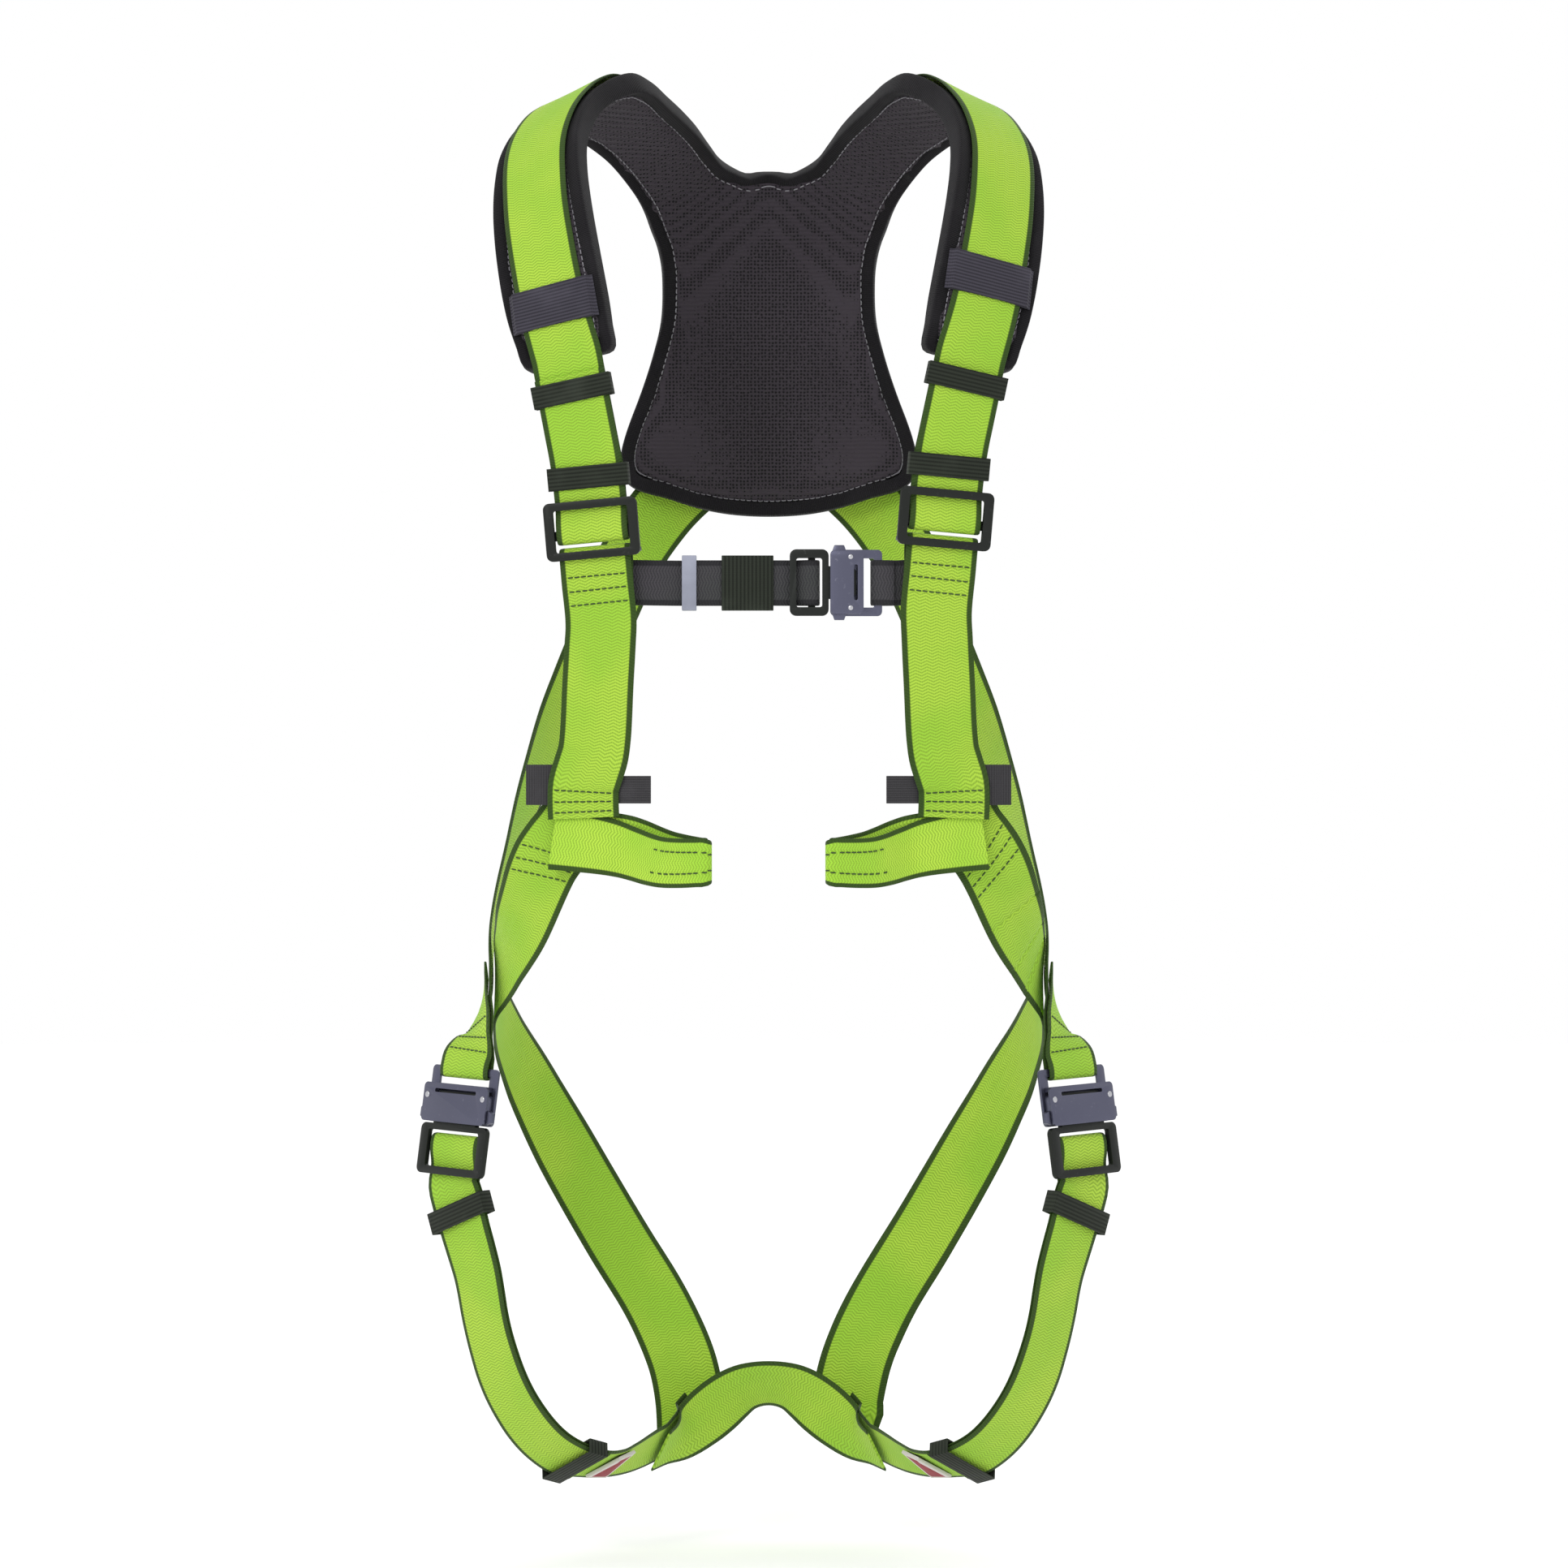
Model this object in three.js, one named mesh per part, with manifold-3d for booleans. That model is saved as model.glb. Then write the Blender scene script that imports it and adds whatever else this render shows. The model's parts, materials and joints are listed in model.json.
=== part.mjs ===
// Full-body fall-arrest harness: padded yoke, crossing main straps with a dorsal ring, chest straps with
// adjusters, sternal buckle, textile front loops, hip straps and two buckled leg loops.
// Millimetres, +Z up. The wearer faces -Y, so the wearer's right side is -X. The origin is on the middle
// plane at the height of the shoulder crowns, where the shoulders hold the harness up.
import * as THREE from "three";
import { mergeVertices } from "three/addons/utils/BufferGeometryUtils.js";
import Module from "manifold-3d";

const wasm = await Module();
wasm.setup();

// ---- driving dimensions ----
const WEB = 45; // load-bearing webbing width
const WEB_T = 1.6; // webbing thickness
const STERNAL_WEB = 28; // sternal webbing width
const GAP = 0.4; // clearance between layers that lie on each other
const PAD_T = 12; // yoke pad, cover to lining
const SKIN_T = 1.4; // yoke cover and lining thickness
const PAD_EDGE = 2.2; // how far the foam stops short of the pad's edge
const BIND_T = 1.2; // edge binding thickness
const BIND_GAP = 1.2; // pad's edge to the binding
const BIND_LIP = 0.9; // how far the binding stands proud of both skins
const SHOULDER_HALF = 116; // middle plane to the crown of the shoulder pad
const LOBE_HALF = 132; // middle plane to the front lobe's middle
const CHEST_HALF = 109; // middle plane to the chest strap
const HIP_HALF = 173; // middle plane to the hip strap at the hip side
const BUCKLE_HALF = 194; // middle plane to the leg buckle
const SEAT_HALF = 52; // middle plane to where a leg loop meets the seat strap
const FRONT_Y = 112; // depth of the chest straps in front of the shoulder line
const BACK_Y = 119; // depth of the yoke's outer face behind the shoulder line
const LOBE_TIP_Z = -181; // height of the front lobes' lower ends
const RING_Z = -150; // height of the dorsal ring's axle
const YOKE_BOTTOM_Z = -267; // height of the yoke's lowest point
const ADJUSTER_Z = -288; // height of the shoulder adjusters
const STERNAL_Z = -321; // height of the sternal strap
const LOOP_Z = -466; // height of the chest straps' lower ends
const HIP_Z = -578; // height where the hip strap passes the hip side
const BUCKLE_Z = -661; // height of the leg buckles
const SEAT_Z = -832; // height of the seat strap's arch
const LEFT_LIFT = 6.5; // how much higher the left shoulder adjuster is set than the right one

const LAYER = WEB_T + GAP; // pitch of webbing layers
const UP = new THREE.Vector3(0, 0, 1);
const V = (x, y, z) => new THREE.Vector3(x, y, z);

// ---- solids ----
function geometryOf(points, triangles) {
  const made = new THREE.BufferGeometry();
  const numbers = points.flatMap((p) => [p.x, p.y, p.z]);
  made.setAttribute("position", new THREE.Float32BufferAttribute(numbers, 3));
  made.setIndex(triangles.flat());
  return outward(made);
}

// Turns every triangle round if the closed geometry is inside out.
function outward(geometry) {
  const p = geometry.attributes.position;
  const index = geometry.index.array;
  const [a, b, c] = [V(), V(), V()];
  let volume = 0;
  for (let i = 0; i < index.length; i += 3) {
    a.fromBufferAttribute(p, index[i]);
    b.fromBufferAttribute(p, index[i + 1]);
    c.fromBufferAttribute(p, index[i + 2]);
    volume += a.dot(b.clone().cross(c));
  }
  if (volume < 0) {
    for (let i = 0; i < index.length; i += 3) [index[i], index[i + 1]] = [index[i + 1], index[i]];
  }
  return geometry;
}

function solidOf(geometry) {
  const bare = geometry.clone();
  bare.deleteAttribute("normal");
  bare.deleteAttribute("uv");
  const merged = mergeVertices(bare, 1e-3);
  return new wasm.Manifold(new wasm.Mesh({
    numProp: 3,
    vertProperties: merged.attributes.position.array,
    triVerts: new Uint32Array(merged.index.array),
  }));
}

function geometryFrom(solid) {
  const mesh = solid.getMesh();
  const made = new THREE.BufferGeometry();
  made.setAttribute("position", new THREE.BufferAttribute(mesh.vertProperties, 3));
  made.setIndex(new THREE.BufferAttribute(mesh.triVerts, 1));
  return made;
}

function joined(first, ...rest) {
  return geometryFrom(rest.reduce((sum, part) => sum.add(solidOf(part)), solidOf(first)));
}

function cut(body, ...tools) {
  return geometryFrom(tools.reduce((left, tool) => left.subtract(solidOf(tool)), solidOf(body)));
}

// A box between two corners.
function box(low, high) {
  const size = high.map((h, i) => h - low[i]);
  return new THREE.BoxGeometry(...size).translate(...low.map((l, i) => l + size[i] / 2));
}

// A rod of round section along X, between two x values.
function rodX(x0, x1, y, z, radius, sides = 16) {
  return new THREE.CylinderGeometry(radius, radius, x1 - x0, sides).rotateZ(Math.PI / 2)
    .translate((x0 + x1) / 2, y, z);
}

// A rectangle with rounded corners, as a shape or as the hole in one.
function roundedRect(Kind, x0, x1, y0, y1, radius) {
  const r = Math.min(radius, (x1 - x0) / 2.01, (y1 - y0) / 2.01);
  return new Kind()
    .moveTo(x0 + r, y0)
    .lineTo(x1 - r, y0)
    .absarc(x1 - r, y0 + r, r, -Math.PI / 2, 0, false)
    .lineTo(x1, y1 - r)
    .absarc(x1 - r, y1 - r, r, 0, Math.PI / 2, false)
    .lineTo(x0 + r, y1)
    .absarc(x0 + r, y1 - r, r, Math.PI / 2, Math.PI, false)
    .lineTo(x0, y0 + r)
    .absarc(x0 + r, y0 + r, r, Math.PI, Math.PI * 1.5, false);
}

// A flat plate: a shape in the local X-Y plane, from local z0 to z1.
function plate(shape, z0, z1, curveSegments = 3) {
  return new THREE.ExtrudeGeometry(shape, { depth: z1 - z0, bevelEnabled: false, curveSegments })
    .translate(0, 0, z0);
}

// ---- webbing ----
// A route is a list of stations: a point on the webbing's middle and the normal of its outer face.
const at = (x, y, z, nx, ny, nz) => ({ p: V(x, y, z), n: V(nx, ny, nz).normalize() });

const STEP = 14; // longest straight piece of a smoothed route

// Runs a smooth curve through a route's stations.
function smooth(route) {
  const middle = new THREE.CatmullRomCurve3(route.map((r) => r.p), false, "centripetal");
  const faces = new THREE.CatmullRomCurve3(route.map((r) => r.n), false, "catmullrom", 0.3);
  const last = route.length - 1;
  const made = [{ p: route[0].p.clone(), n: route[0].n.clone() }];
  for (let i = 0; i < last; i++) {
    const pieces = Math.ceil(route[i].p.distanceTo(route[i + 1].p) / STEP);
    for (let k = 1; k <= pieces; k++) {
      const share = (i + k / pieces) / last;
      made.push({ p: middle.getPoint(share), n: faces.getPoint(share).normalize() });
    }
  }
  return made;
}

// Tangent, edge direction and face normal at each station of a route.
function framed(route) {
  return route.map((r, i) => {
    const before = route[Math.max(i - 1, 0)].p;
    const after = route[Math.min(i + 1, route.length - 1)].p;
    const t = after.clone().sub(before).normalize();
    const s = t.clone().cross(r.n).normalize();
    return { p: r.p, t, s, n: s.clone().cross(t) };
  });
}

// The same route moved out along its face normal.
const lifted = (route, distance) =>
  framed(route).map((f) => ({ p: f.p.clone().addScaledVector(f.n, distance), n: f.n }));

// The same route walked the other way, with its faces swapped.
const turnedBack = (route) => route.map((r) => ({ p: r.p, n: r.n.clone().negate() })).reverse();

// A closed flat strap along a route; width may be a function of the share of the way along.
function ribbon(route, width = WEB, thickness = WEB_T) {
  const frames = framed(route);
  const points = [];
  frames.forEach((f, i) => {
    const w = typeof width === "function" ? width(i / (frames.length - 1)) : width;
    for (const [a, b] of [[-1, -1], [1, -1], [1, 1], [-1, 1]])
      points.push(f.p.clone().addScaledVector(f.s, (a * w) / 2).addScaledVector(f.n, (b * thickness) / 2));
  });
  const triangles = [[0, 2, 1], [0, 3, 2]];
  // Each twisted quad is split the same way in space whichever way the route runs, so that layers that lie
  // on each other keep their gap.
  for (let i = 0; i < frames.length - 1; i++) {
    const rising = frames[i + 1].p.z > frames[i].p.z;
    for (let k = 0; k < 4; k++) {
      const [a, b] = [i * 4 + k, i * 4 + ((k + 1) % 4)];
      if (rising === k < 2) triangles.push([a, b, b + 4], [a, b + 4, a + 4]);
      else triangles.push([a, b, a + 4], [b, b + 4, a + 4]);
    }
  }
  const last = (frames.length - 1) * 4;
  triangles.push([last, last + 1, last + 2], [last, last + 2, last + 3]);
  return geometryOf(points, triangles);
}

// A piece drawn for the right side (sign -1), mirrored across the middle plane for the left side.
const flipX = (q) => V(-q.x, q.y, q.z);
const sided = (geometry, sign) => (sign < 0 ? geometry : outward(geometry.scale(-1, 1, 1)));

// The stretch of a route between two distances along it.
function between(route, from, to) {
  let walked = 0;
  return route.filter((r, i) => {
    if (i) walked += r.p.distanceTo(route[i - 1].p);
    return walked >= from && walked <= to;
  });
}

// The frame at a distance along a route: u along it, w out of its face.
function frameAt(route, distance) {
  const frames = framed(route);
  let walked = 0;
  for (let i = 1; i < frames.length; i++) {
    const step = frames[i].p.distanceTo(frames[i - 1].p);
    if (walked + step >= distance) {
      const share = (distance - walked) / step;
      const o = frames[i - 1].p.clone().lerp(frames[i].p, share);
      return localFrame(o, frames[i].p.clone().sub(frames[i - 1].p), frames[i].n);
    }
    walked += step;
  }
  throw new Error("the route is shorter than " + distance);
}

// ---- a local frame: u along the strap, v across it, w out of its face ----
function localFrame(origin, along, out) {
  const u = along.clone().normalize();
  const w = out.clone().addScaledVector(u, -out.dot(u)).normalize();
  return { o: origin, u, w, v: w.clone().cross(u) };
}

const mirroredFrame = (f, sign) => (sign < 0 ? f : localFrame(flipX(f.o), flipX(f.u), flipX(f.w)));

const inFrame = (f, a, b, c) =>
  f.o.clone().addScaledVector(f.u, a).addScaledVector(f.v, b).addScaledVector(f.w, c);

// Stations from u, w pairs of a frame. The webbing's edges stay across the strap, so that its outer face
// turns with it round a bar; leaving says which way it runs (1 for along u) where that face looks out.
function localRoute(f, pairs, leaving) {
  const points = pairs.map(([a, c]) => inFrame(f, a, 0, c));
  const edge = f.v.clone().multiplyScalar(-leaving);
  return points.map((p, i) => {
    const t = points[Math.min(i + 1, points.length - 1)].clone().sub(points[Math.max(i - 1, 0)]).normalize();
    return { p, n: edge.clone().cross(t).normalize() };
  });
}

// Half a turn around a bar, in u, w pairs: from the back face (w below) to the front face, or back again.
function turn(u, wBack, wFront, direction, toFront = true) {
  const radius = (wFront - wBack) / 2;
  const pairs = [];
  const steps = 6;
  for (let i = 0; i <= steps; i++) {
    const angle = (Math.PI * i) / steps;
    pairs.push([u + direction * radius * Math.sin(angle), (wFront + wBack) / 2 - radius * Math.cos(angle)]);
  }
  return toFront ? pairs : pairs.reverse();
}

// ---- materials and the group ----
const MATERIALS = {
  webbing: ["#a6d63c", 0.75, 0],
  loop_webbing: ["#a6d63c", 0.75, 0],
  sternal_webbing: ["#46464a", 0.8, 0],
  pad_mesh: ["#3b383d", 0.9, 0],
  pad_cover: ["#2c2b2e", 0.85, 0],
  foam: ["#55555a", 0.95, 0],
  binding: ["#161618", 0.8, 0],
  elastic: ["#4a4852", 0.85, 0],
  tag: ["#4d4c52", 0.8, 0],
  red_label: ["#9c3844", 0.7, 0],
  black_steel: ["#23282a", 0.45, 0.9],
  buckle_steel: ["#55535f", 0.4, 0.9],
  bright_steel: ["#a9a9b2", 0.3, 1],
  plate_plastic: ["#1c1d20", 0.5, 0],
};
const harness = new THREE.Group();

function add(name, geometry, look, frame) {
  const [color, roughness, metalness] = MATERIALS[look];
  const mesh = new THREE.Mesh(geometry, new THREE.MeshStandardMaterial({ color, roughness, metalness }));
  mesh.name = name;
  if (frame) {
    mesh.quaternion.setFromRotationMatrix(new THREE.Matrix4().makeBasis(frame.u, frame.v, frame.w));
    mesh.position.copy(frame.o);
  }
  harness.add(mesh);
}

// ---- yoke pad ----
// Rows of the pad's outer face on the right side, from the front lobe's tip over the shoulder and down the
// back: the outer (armhole) end of each row, then its inner end on the neckline or on the middle plane.
const S = SHOULDER_HALF;
const L = LOBE_HALF;
const PAD_ROWS = [
  [[-L - 18, -FRONT_Y + 12, LOBE_TIP_Z - 5], [-L + 33, -FRONT_Y, LOBE_TIP_Z + 6]],
  [[-L - 28, -FRONT_Y + 20, LOBE_TIP_Z + 22], [-L + 28, -FRONT_Y + 1, LOBE_TIP_Z + 35]],
  [[-L - 35, -FRONT_Y + 32, LOBE_TIP_Z + 56], [-L + 21, -FRONT_Y + 9, LOBE_TIP_Z + 69]],
  [[-L - 39, -60, -85], [-L + 14, -87, -75]],
  [[-L - 36, -36, -50], [-L + 11, -60, -37]],
  [[-S - 40, -13, -27], [-S + 5, -29, -8]],
  [[-S - 26, 11, -15], [-S + 29, 3, 7]],
  [[-S - 10, 37, -19], [-S + 49, 38, -3]],
  [[-S + 11, 67, -33], [-S + 67, 70, -18]],
  [[-S + 31, BACK_Y - 24, -59], [-33, BACK_Y - 22, -37]],
  [[-S + 40, BACK_Y - 13, -80], [-15, BACK_Y - 10, -45.5]],
  [[-S + 47, BACK_Y - 6, -103], [0, BACK_Y - 6, -47]],
  [[-S + 47, BACK_Y - 2, -141], [0, BACK_Y, -86]],
  [[-S + 37, BACK_Y - 1, -180], [0, BACK_Y, -132]],
  [[-S + 27, BACK_Y - 1, -208], [0, BACK_Y, -178]],
  [[-S + 21, BACK_Y - 2, YOKE_BOTTOM_Z + 38], [0, BACK_Y, -224]],
  [[-S + 22, BACK_Y - 2, YOKE_BOTTOM_Z + 25], [0, BACK_Y, YOKE_BOTTOM_Z]],
];
const MIDDLE_ROW = 11; // the first row that reaches the middle plane
const outerEnds = new THREE.CatmullRomCurve3(PAD_ROWS.map(([a]) => V(...a)), false, "catmullrom", 0.5);
const innerEnds = new THREE.CatmullRomCurve3(PAD_ROWS.map(([, b]) => V(...b)), false, "catmullrom", 0.5);
const LAST_ROW = PAD_ROWS.length - 1;
const PAD_BOTTOM_BOW = 7; // how far the pad's bottom edge bows below a straight line

// A point of the pad's outer face: row from 0 at the tip to LAST_ROW, share from 0 outside to 1 inside.
function padPoint(row, share) {
  const a = outerEnds.getPoint(row / LAST_ROW);
  const b = innerEnds.getPoint(row / LAST_ROW);
  if (row > MIDDLE_ROW - 0.01) b.x = 0;
  const bow = PAD_BOTTOM_BOW * Math.max(0, row - LAST_ROW + 1) * Math.sin(Math.PI * share);
  return a.lerp(b, share).add(V(0, 0, -bow));
}

function padNormal(row, share) {
  const [r0, r1] = [Math.max(row - 0.1, 0), Math.min(row + 0.1, LAST_ROW)];
  const [f0, f1] = [Math.max(share - 0.05, 0), Math.min(share + 0.05, 1)];
  const along = padPoint(r1, share).sub(padPoint(r0, share));
  const across = padPoint(row, f1).sub(padPoint(row, f0));
  return across.cross(along).normalize();
}

const PAD_STEPS = 2; // mesh rows between two named rows
const PAD_COLUMNS = 3;

// One layer of the pad between two depths under its outer face, drawn in by inset at its edges.
function padLayer(top, bottom, inset) {
  const rows = LAST_ROW * PAD_STEPS;
  const grid = [];
  const points = [];
  const index = new Map();
  const triangles = [];
  for (const sign of [-1, 1])
    for (let i = 0; i <= rows; i++)
      for (let j = 0; j <= PAD_COLUMNS; j++) {
        const row = i / PAD_STEPS;
        const onMiddle = j === PAD_COLUMNS && row > MIDDLE_ROW - 0.01;
        const share = j / PAD_COLUMNS;
        const key = onMiddle ? "m" + i : sign + ":" + i + ":" + j;
        if (!index.has(key)) {
          const p = padPoint(row, share);
          const n = padNormal(row, share);
          if (onMiddle) n.setX(0).normalize();
          const width = padPoint(row, 0).distanceTo(padPoint(row, 1));
          const inward = padPoint(row, 1).sub(padPoint(row, 0)).divideScalar(width);
          if (j === 0) p.addScaledVector(inward, inset);
          if (j === PAD_COLUMNS && !onMiddle) p.addScaledVector(inward, -inset);
          const lengthwise = padPoint(Math.min(row + 0.1, LAST_ROW), share)
            .sub(padPoint(Math.max(row - 0.1, 0), share)).normalize();
          if (i === 0) p.addScaledVector(lengthwise, inset);
          if (i === rows) p.addScaledVector(lengthwise, -inset);
          index.set(key, grid.length);
          const m = (q) => V(onMiddle ? 0 : -sign * q.x, q.y, q.z);
          grid.push({ p: m(p), n: V(-sign * n.x, n.y, n.z) });
        }
      }
  const onMiddlePlane = (i, j) => j === PAD_COLUMNS && i / PAD_STEPS > MIDDLE_ROW - 0.01;
  const corner = (sign, i, j) => index.get(onMiddlePlane(i, j) ? "m" + i : sign + ":" + i + ":" + j);
  const faces = [];
  for (const sign of [-1, 1])
    for (let i = 0; i < rows; i++)
      for (let j = 0; j < PAD_COLUMNS; j++) {
        const [a, b] = [corner(sign, i, j), corner(sign, i + 1, j)];
        const [c, d] = [corner(sign, i + 1, j + 1), corner(sign, i, j + 1)];
        const quad = sign < 0 ? [a, b, c, d] : [a, d, c, b];
        faces.push([quad[0], quad[1], quad[2]], [quad[0], quad[2], quad[3]]);
      }
  const count = grid.length;
  for (const depth of [top, bottom])
    for (const g of grid) points.push(g.p.clone().addScaledVector(g.n, -depth));
  const used = new Map();
  for (const [a, b, c] of faces) {
    triangles.push([a, b, c], [c + count, b + count, a + count]);
    for (const [p, q] of [[a, b], [b, c], [c, a]]) used.set(p + "," + q, [p, q]);
  }
  for (const [p, q] of used.values())
    if (!used.has(q + "," + p)) triangles.push([q, p, p + count], [q, p + count, q + count]);
  return geometryOf(points, triangles);
}

// The pad's whole edge, as a closed loop of outer-face points with their normals and outward directions.
function padEdge() {
  const half = [];
  const rows = LAST_ROW * PAD_STEPS;
  const put = (row, share, outwards) =>
    half.push({ p: padPoint(row, share), n: padNormal(row, share), outwards });
  const across = (row, share) => padPoint(row, 1).sub(padPoint(row, 0)).normalize().multiplyScalar(share);
  const down = (row, share) => padPoint(row + 0.1, share).sub(padPoint(row, share)).normalize();
  for (let i = MIDDLE_ROW * PAD_STEPS; i >= 0; i--) put(i / PAD_STEPS, 1, across(i / PAD_STEPS, 1));
  half[half.length - 1].outwards.add(down(0, 1).negate()).normalize();
  for (let j = PAD_COLUMNS - 1; j > 0; j--) put(0, j / PAD_COLUMNS, down(0, j / PAD_COLUMNS).negate());
  for (let i = 0; i <= rows; i++) put(i / PAD_STEPS, 0, across(i / PAD_STEPS, -1));
  half[half.length - 1 - rows].outwards.add(down(0, 0).negate()).normalize();
  half[half.length - 1].outwards.add(down(LAST_ROW - 0.1, 0)).normalize();
  for (let j = 1; j <= PAD_COLUMNS; j++) put(LAST_ROW, j / PAD_COLUMNS, V(0, 0, -1));
  half[0].outwards.set(0, 0, 1);
  half[0].n.setX(0).normalize();
  half[half.length - 1].n.setX(0).normalize();
  const other = half.slice(1, -1).reverse()
    .map((h) => ({ p: flipX(h.p), n: flipX(h.n), outwards: flipX(h.outwards) }));
  return [...half, ...other];
}

function padBinding() {
  const edge = padEdge();
  const points = [];
  edge.forEach(({ p, n, outwards }, i) => {
    const along = edge[(i + 1) % edge.length].p.clone().sub(edge.at(i - 1).p);
    const e = along.cross(n).normalize();
    if (e.dot(outwards) < 0) e.negate();
    for (const [out, depth] of [[BIND_GAP, -BIND_LIP], [BIND_GAP + BIND_T, -BIND_LIP],
      [BIND_GAP + BIND_T, PAD_T + BIND_LIP], [BIND_GAP, PAD_T + BIND_LIP]])
      points.push(p.clone().addScaledVector(e, out).addScaledVector(n, -depth));
  });
  const triangles = [];
  edge.forEach((_, i) => {
    const next = (i + 1) % edge.length;
    for (let k = 0; k < 4; k++) {
      const [a, b] = [i * 4 + k, i * 4 + ((k + 1) % 4)];
      const [c, d] = [next * 4 + ((k + 1) % 4), next * 4 + k];
      triangles.push([a, b, c], [a, c, d]);
    }
  });
  return geometryOf(points, triangles);
}

add("yoke_cover", padLayer(0, SKIN_T, 0), "pad_cover");
add("yoke_foam", padLayer(SKIN_T + GAP, PAD_T - SKIN_T - GAP, PAD_EDGE), "foam");
add("yoke_lining", padLayer(PAD_T - SKIN_T, PAD_T, 0), "pad_mesh");
add("yoke_binding", padBinding(), "binding");

// ---- dorsal plate and ring ----
const RING_WIRE = 3.5; // radius of the dorsal ring's bar
const RING_INNER_HALF = 25.5; // half the dorsal ring's inner width
const RING_DROP = 44; // axle to the lowest point of the ring's middle line
const RING_REST_DEG = 14; // how far the hanging ring stands off the plate
const PAD_REST = BIND_LIP + GAP + WEB_T / 2; // pad's outer face to the middle of webbing that lies on it
const PLATE_FRONT = PAD_REST + LAYER + WEB_T / 2 + GAP; // pad's outer face to the plate
const PLATE_T = 4;
const PLATE_HALF_W = 49;
const PLATE_HALF_H = 40;
const PLATE_BAR = 12; // plate above and below its opening
const PLATE_SIDE = 10; // plate at each side of its opening
const AXLE_LEVEL = PLATE_FRONT + 2; // pad's outer face to the ring's axle
const LUG_INNER = RING_INNER_HALF + 2 * RING_WIRE + 1; // middle plane to the lugs that carry the axle
const LUG_HALF = RING_WIRE + 3;
const AXLE_HALF = LUG_INNER + 6;
const PIN_CLEARANCE = 0.3;
const dorsal = { o: V(0, BACK_Y, RING_Z), u: V(-1, 0, 0), v: UP.clone(), w: V(0, 1, 0) };

const dorsalPlateShape =
  roundedRect(THREE.Shape, -PLATE_HALF_W, PLATE_HALF_W, -PLATE_HALF_H, PLATE_HALF_H, 12);
dorsalPlateShape.holes.push(roundedRect(THREE.Path, -PLATE_HALF_W + PLATE_SIDE, PLATE_HALF_W - PLATE_SIDE,
  -PLATE_HALF_H + PLATE_BAR, PLATE_HALF_H - PLATE_BAR, 6));
const lug = (sign) => box(
  [sign < 0 ? -PLATE_HALF_W + 8 : LUG_INNER, -LUG_HALF, AXLE_LEVEL - RING_WIRE - 2],
  [sign < 0 ? -LUG_INNER : PLATE_HALF_W - 8, LUG_HALF, AXLE_LEVEL + RING_WIRE + 2]);
const axleBore = rodX(-AXLE_HALF - PIN_CLEARANCE, AXLE_HALF + PIN_CLEARANCE, 0, AXLE_LEVEL,
  RING_WIRE + PIN_CLEARANCE);
add("dorsal_plate", cut(joined(plate(dorsalPlateShape, PLATE_FRONT, PLATE_FRONT + PLATE_T), lug(-1), lug(1)),
  axleBore), "plate_plastic", dorsal);

// A round bar along a list of points.
function roundBar(points, radius, sides = 10) {
  const rings = points.map((p, i) => {
    const t = points[Math.min(i + 1, points.length - 1)].clone().sub(points[Math.max(i - 1, 0)]).normalize();
    const s = Math.abs(t.z) > 0.9 ? V(0, 1, 0) : UP;
    const a = t.clone().cross(s).normalize();
    const b = a.clone().cross(t);
    return Array.from({ length: sides }, (_, k) => p.clone()
      .addScaledVector(a, radius * Math.cos((2 * Math.PI * k) / sides))
      .addScaledVector(b, radius * Math.sin((2 * Math.PI * k) / sides)));
  });
  const triangles = [];
  for (let i = 0; i < rings.length - 1; i++)
    for (let k = 0; k < sides; k++) {
      const [a, b] = [i * sides + k, i * sides + ((k + 1) % sides)];
      triangles.push([a, b, b + sides], [a, b + sides, a + sides]);
    }
  for (let k = 1; k < sides - 1; k++) {
    const end = (rings.length - 1) * sides;
    triangles.push([0, k + 1, k], [end, end + k, end + k + 1]);
  }
  return geometryOf(rings.flat(), triangles);
}

function dorsalRing() {
  const legX = RING_INNER_HALF + RING_WIRE;
  const straight = RING_DROP - legX;
  const bend = Array.from({ length: 17 }, (_, i) => {
    const angle = (Math.PI * i) / 16;
    return V(legX * Math.cos(angle), -straight - legX * Math.sin(angle), 0);
  });
  const loop = roundBar([V(legX, 0, 0), ...bend, V(-legX, 0, 0)], RING_WIRE);
  const tilt = (RING_REST_DEG * Math.PI) / 180;
  const axle = rodX(-AXLE_HALF, AXLE_HALF, 0, 0, RING_WIRE);
  return joined(axle, loop.rotateX(-tilt)).translate(0, 0, AXLE_LEVEL);
}
add("dorsal_d_ring", dorsalRing(), "bright_steel", dorsal);

// ---- shoulder adjusters ----
const ADJUSTER_HALF_W = WEB / 2 + 7;
const ADJUSTER_HALF_H = 18;
const ADJUSTER_BAR = 5;
const ADJUSTER_T = 3;
const SLOT_SIDE = 1.2; // clearance at each edge of webbing in a slot
const WINDOW_CORNER = 1.5; // corner radius of a window
const WINDOW_HALF_W = WEB / 2 + SLOT_SIDE;
const WINDOW_HALF_H = ADJUSTER_HALF_H - ADJUSTER_BAR;
const FRONT_FACE = ADJUSTER_T / 2;
const BEHIND = -FRONT_FACE - GAP - WEB_T / 2; // middle of a layer that runs behind the frame
const REAR_BAR_T = 4;
const REAR_BAR_H = 2.4;
const REAR_BAR_W = BEHIND - WEB_T / 2 - GAP - REAR_BAR_T / 2; // middle of the fixed rear bar
const REAR_BAR_U = -ADJUSTER_HALF_H + ADJUSTER_BAR / 2 + 1;
const SLIDE_T = 2.6; // sliding bar thickness
const SLIDE_H = 6; // sliding bar height
const SLIDE_W = -FRONT_FACE - PIN_CLEARANCE - SLIDE_T / 2;

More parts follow.
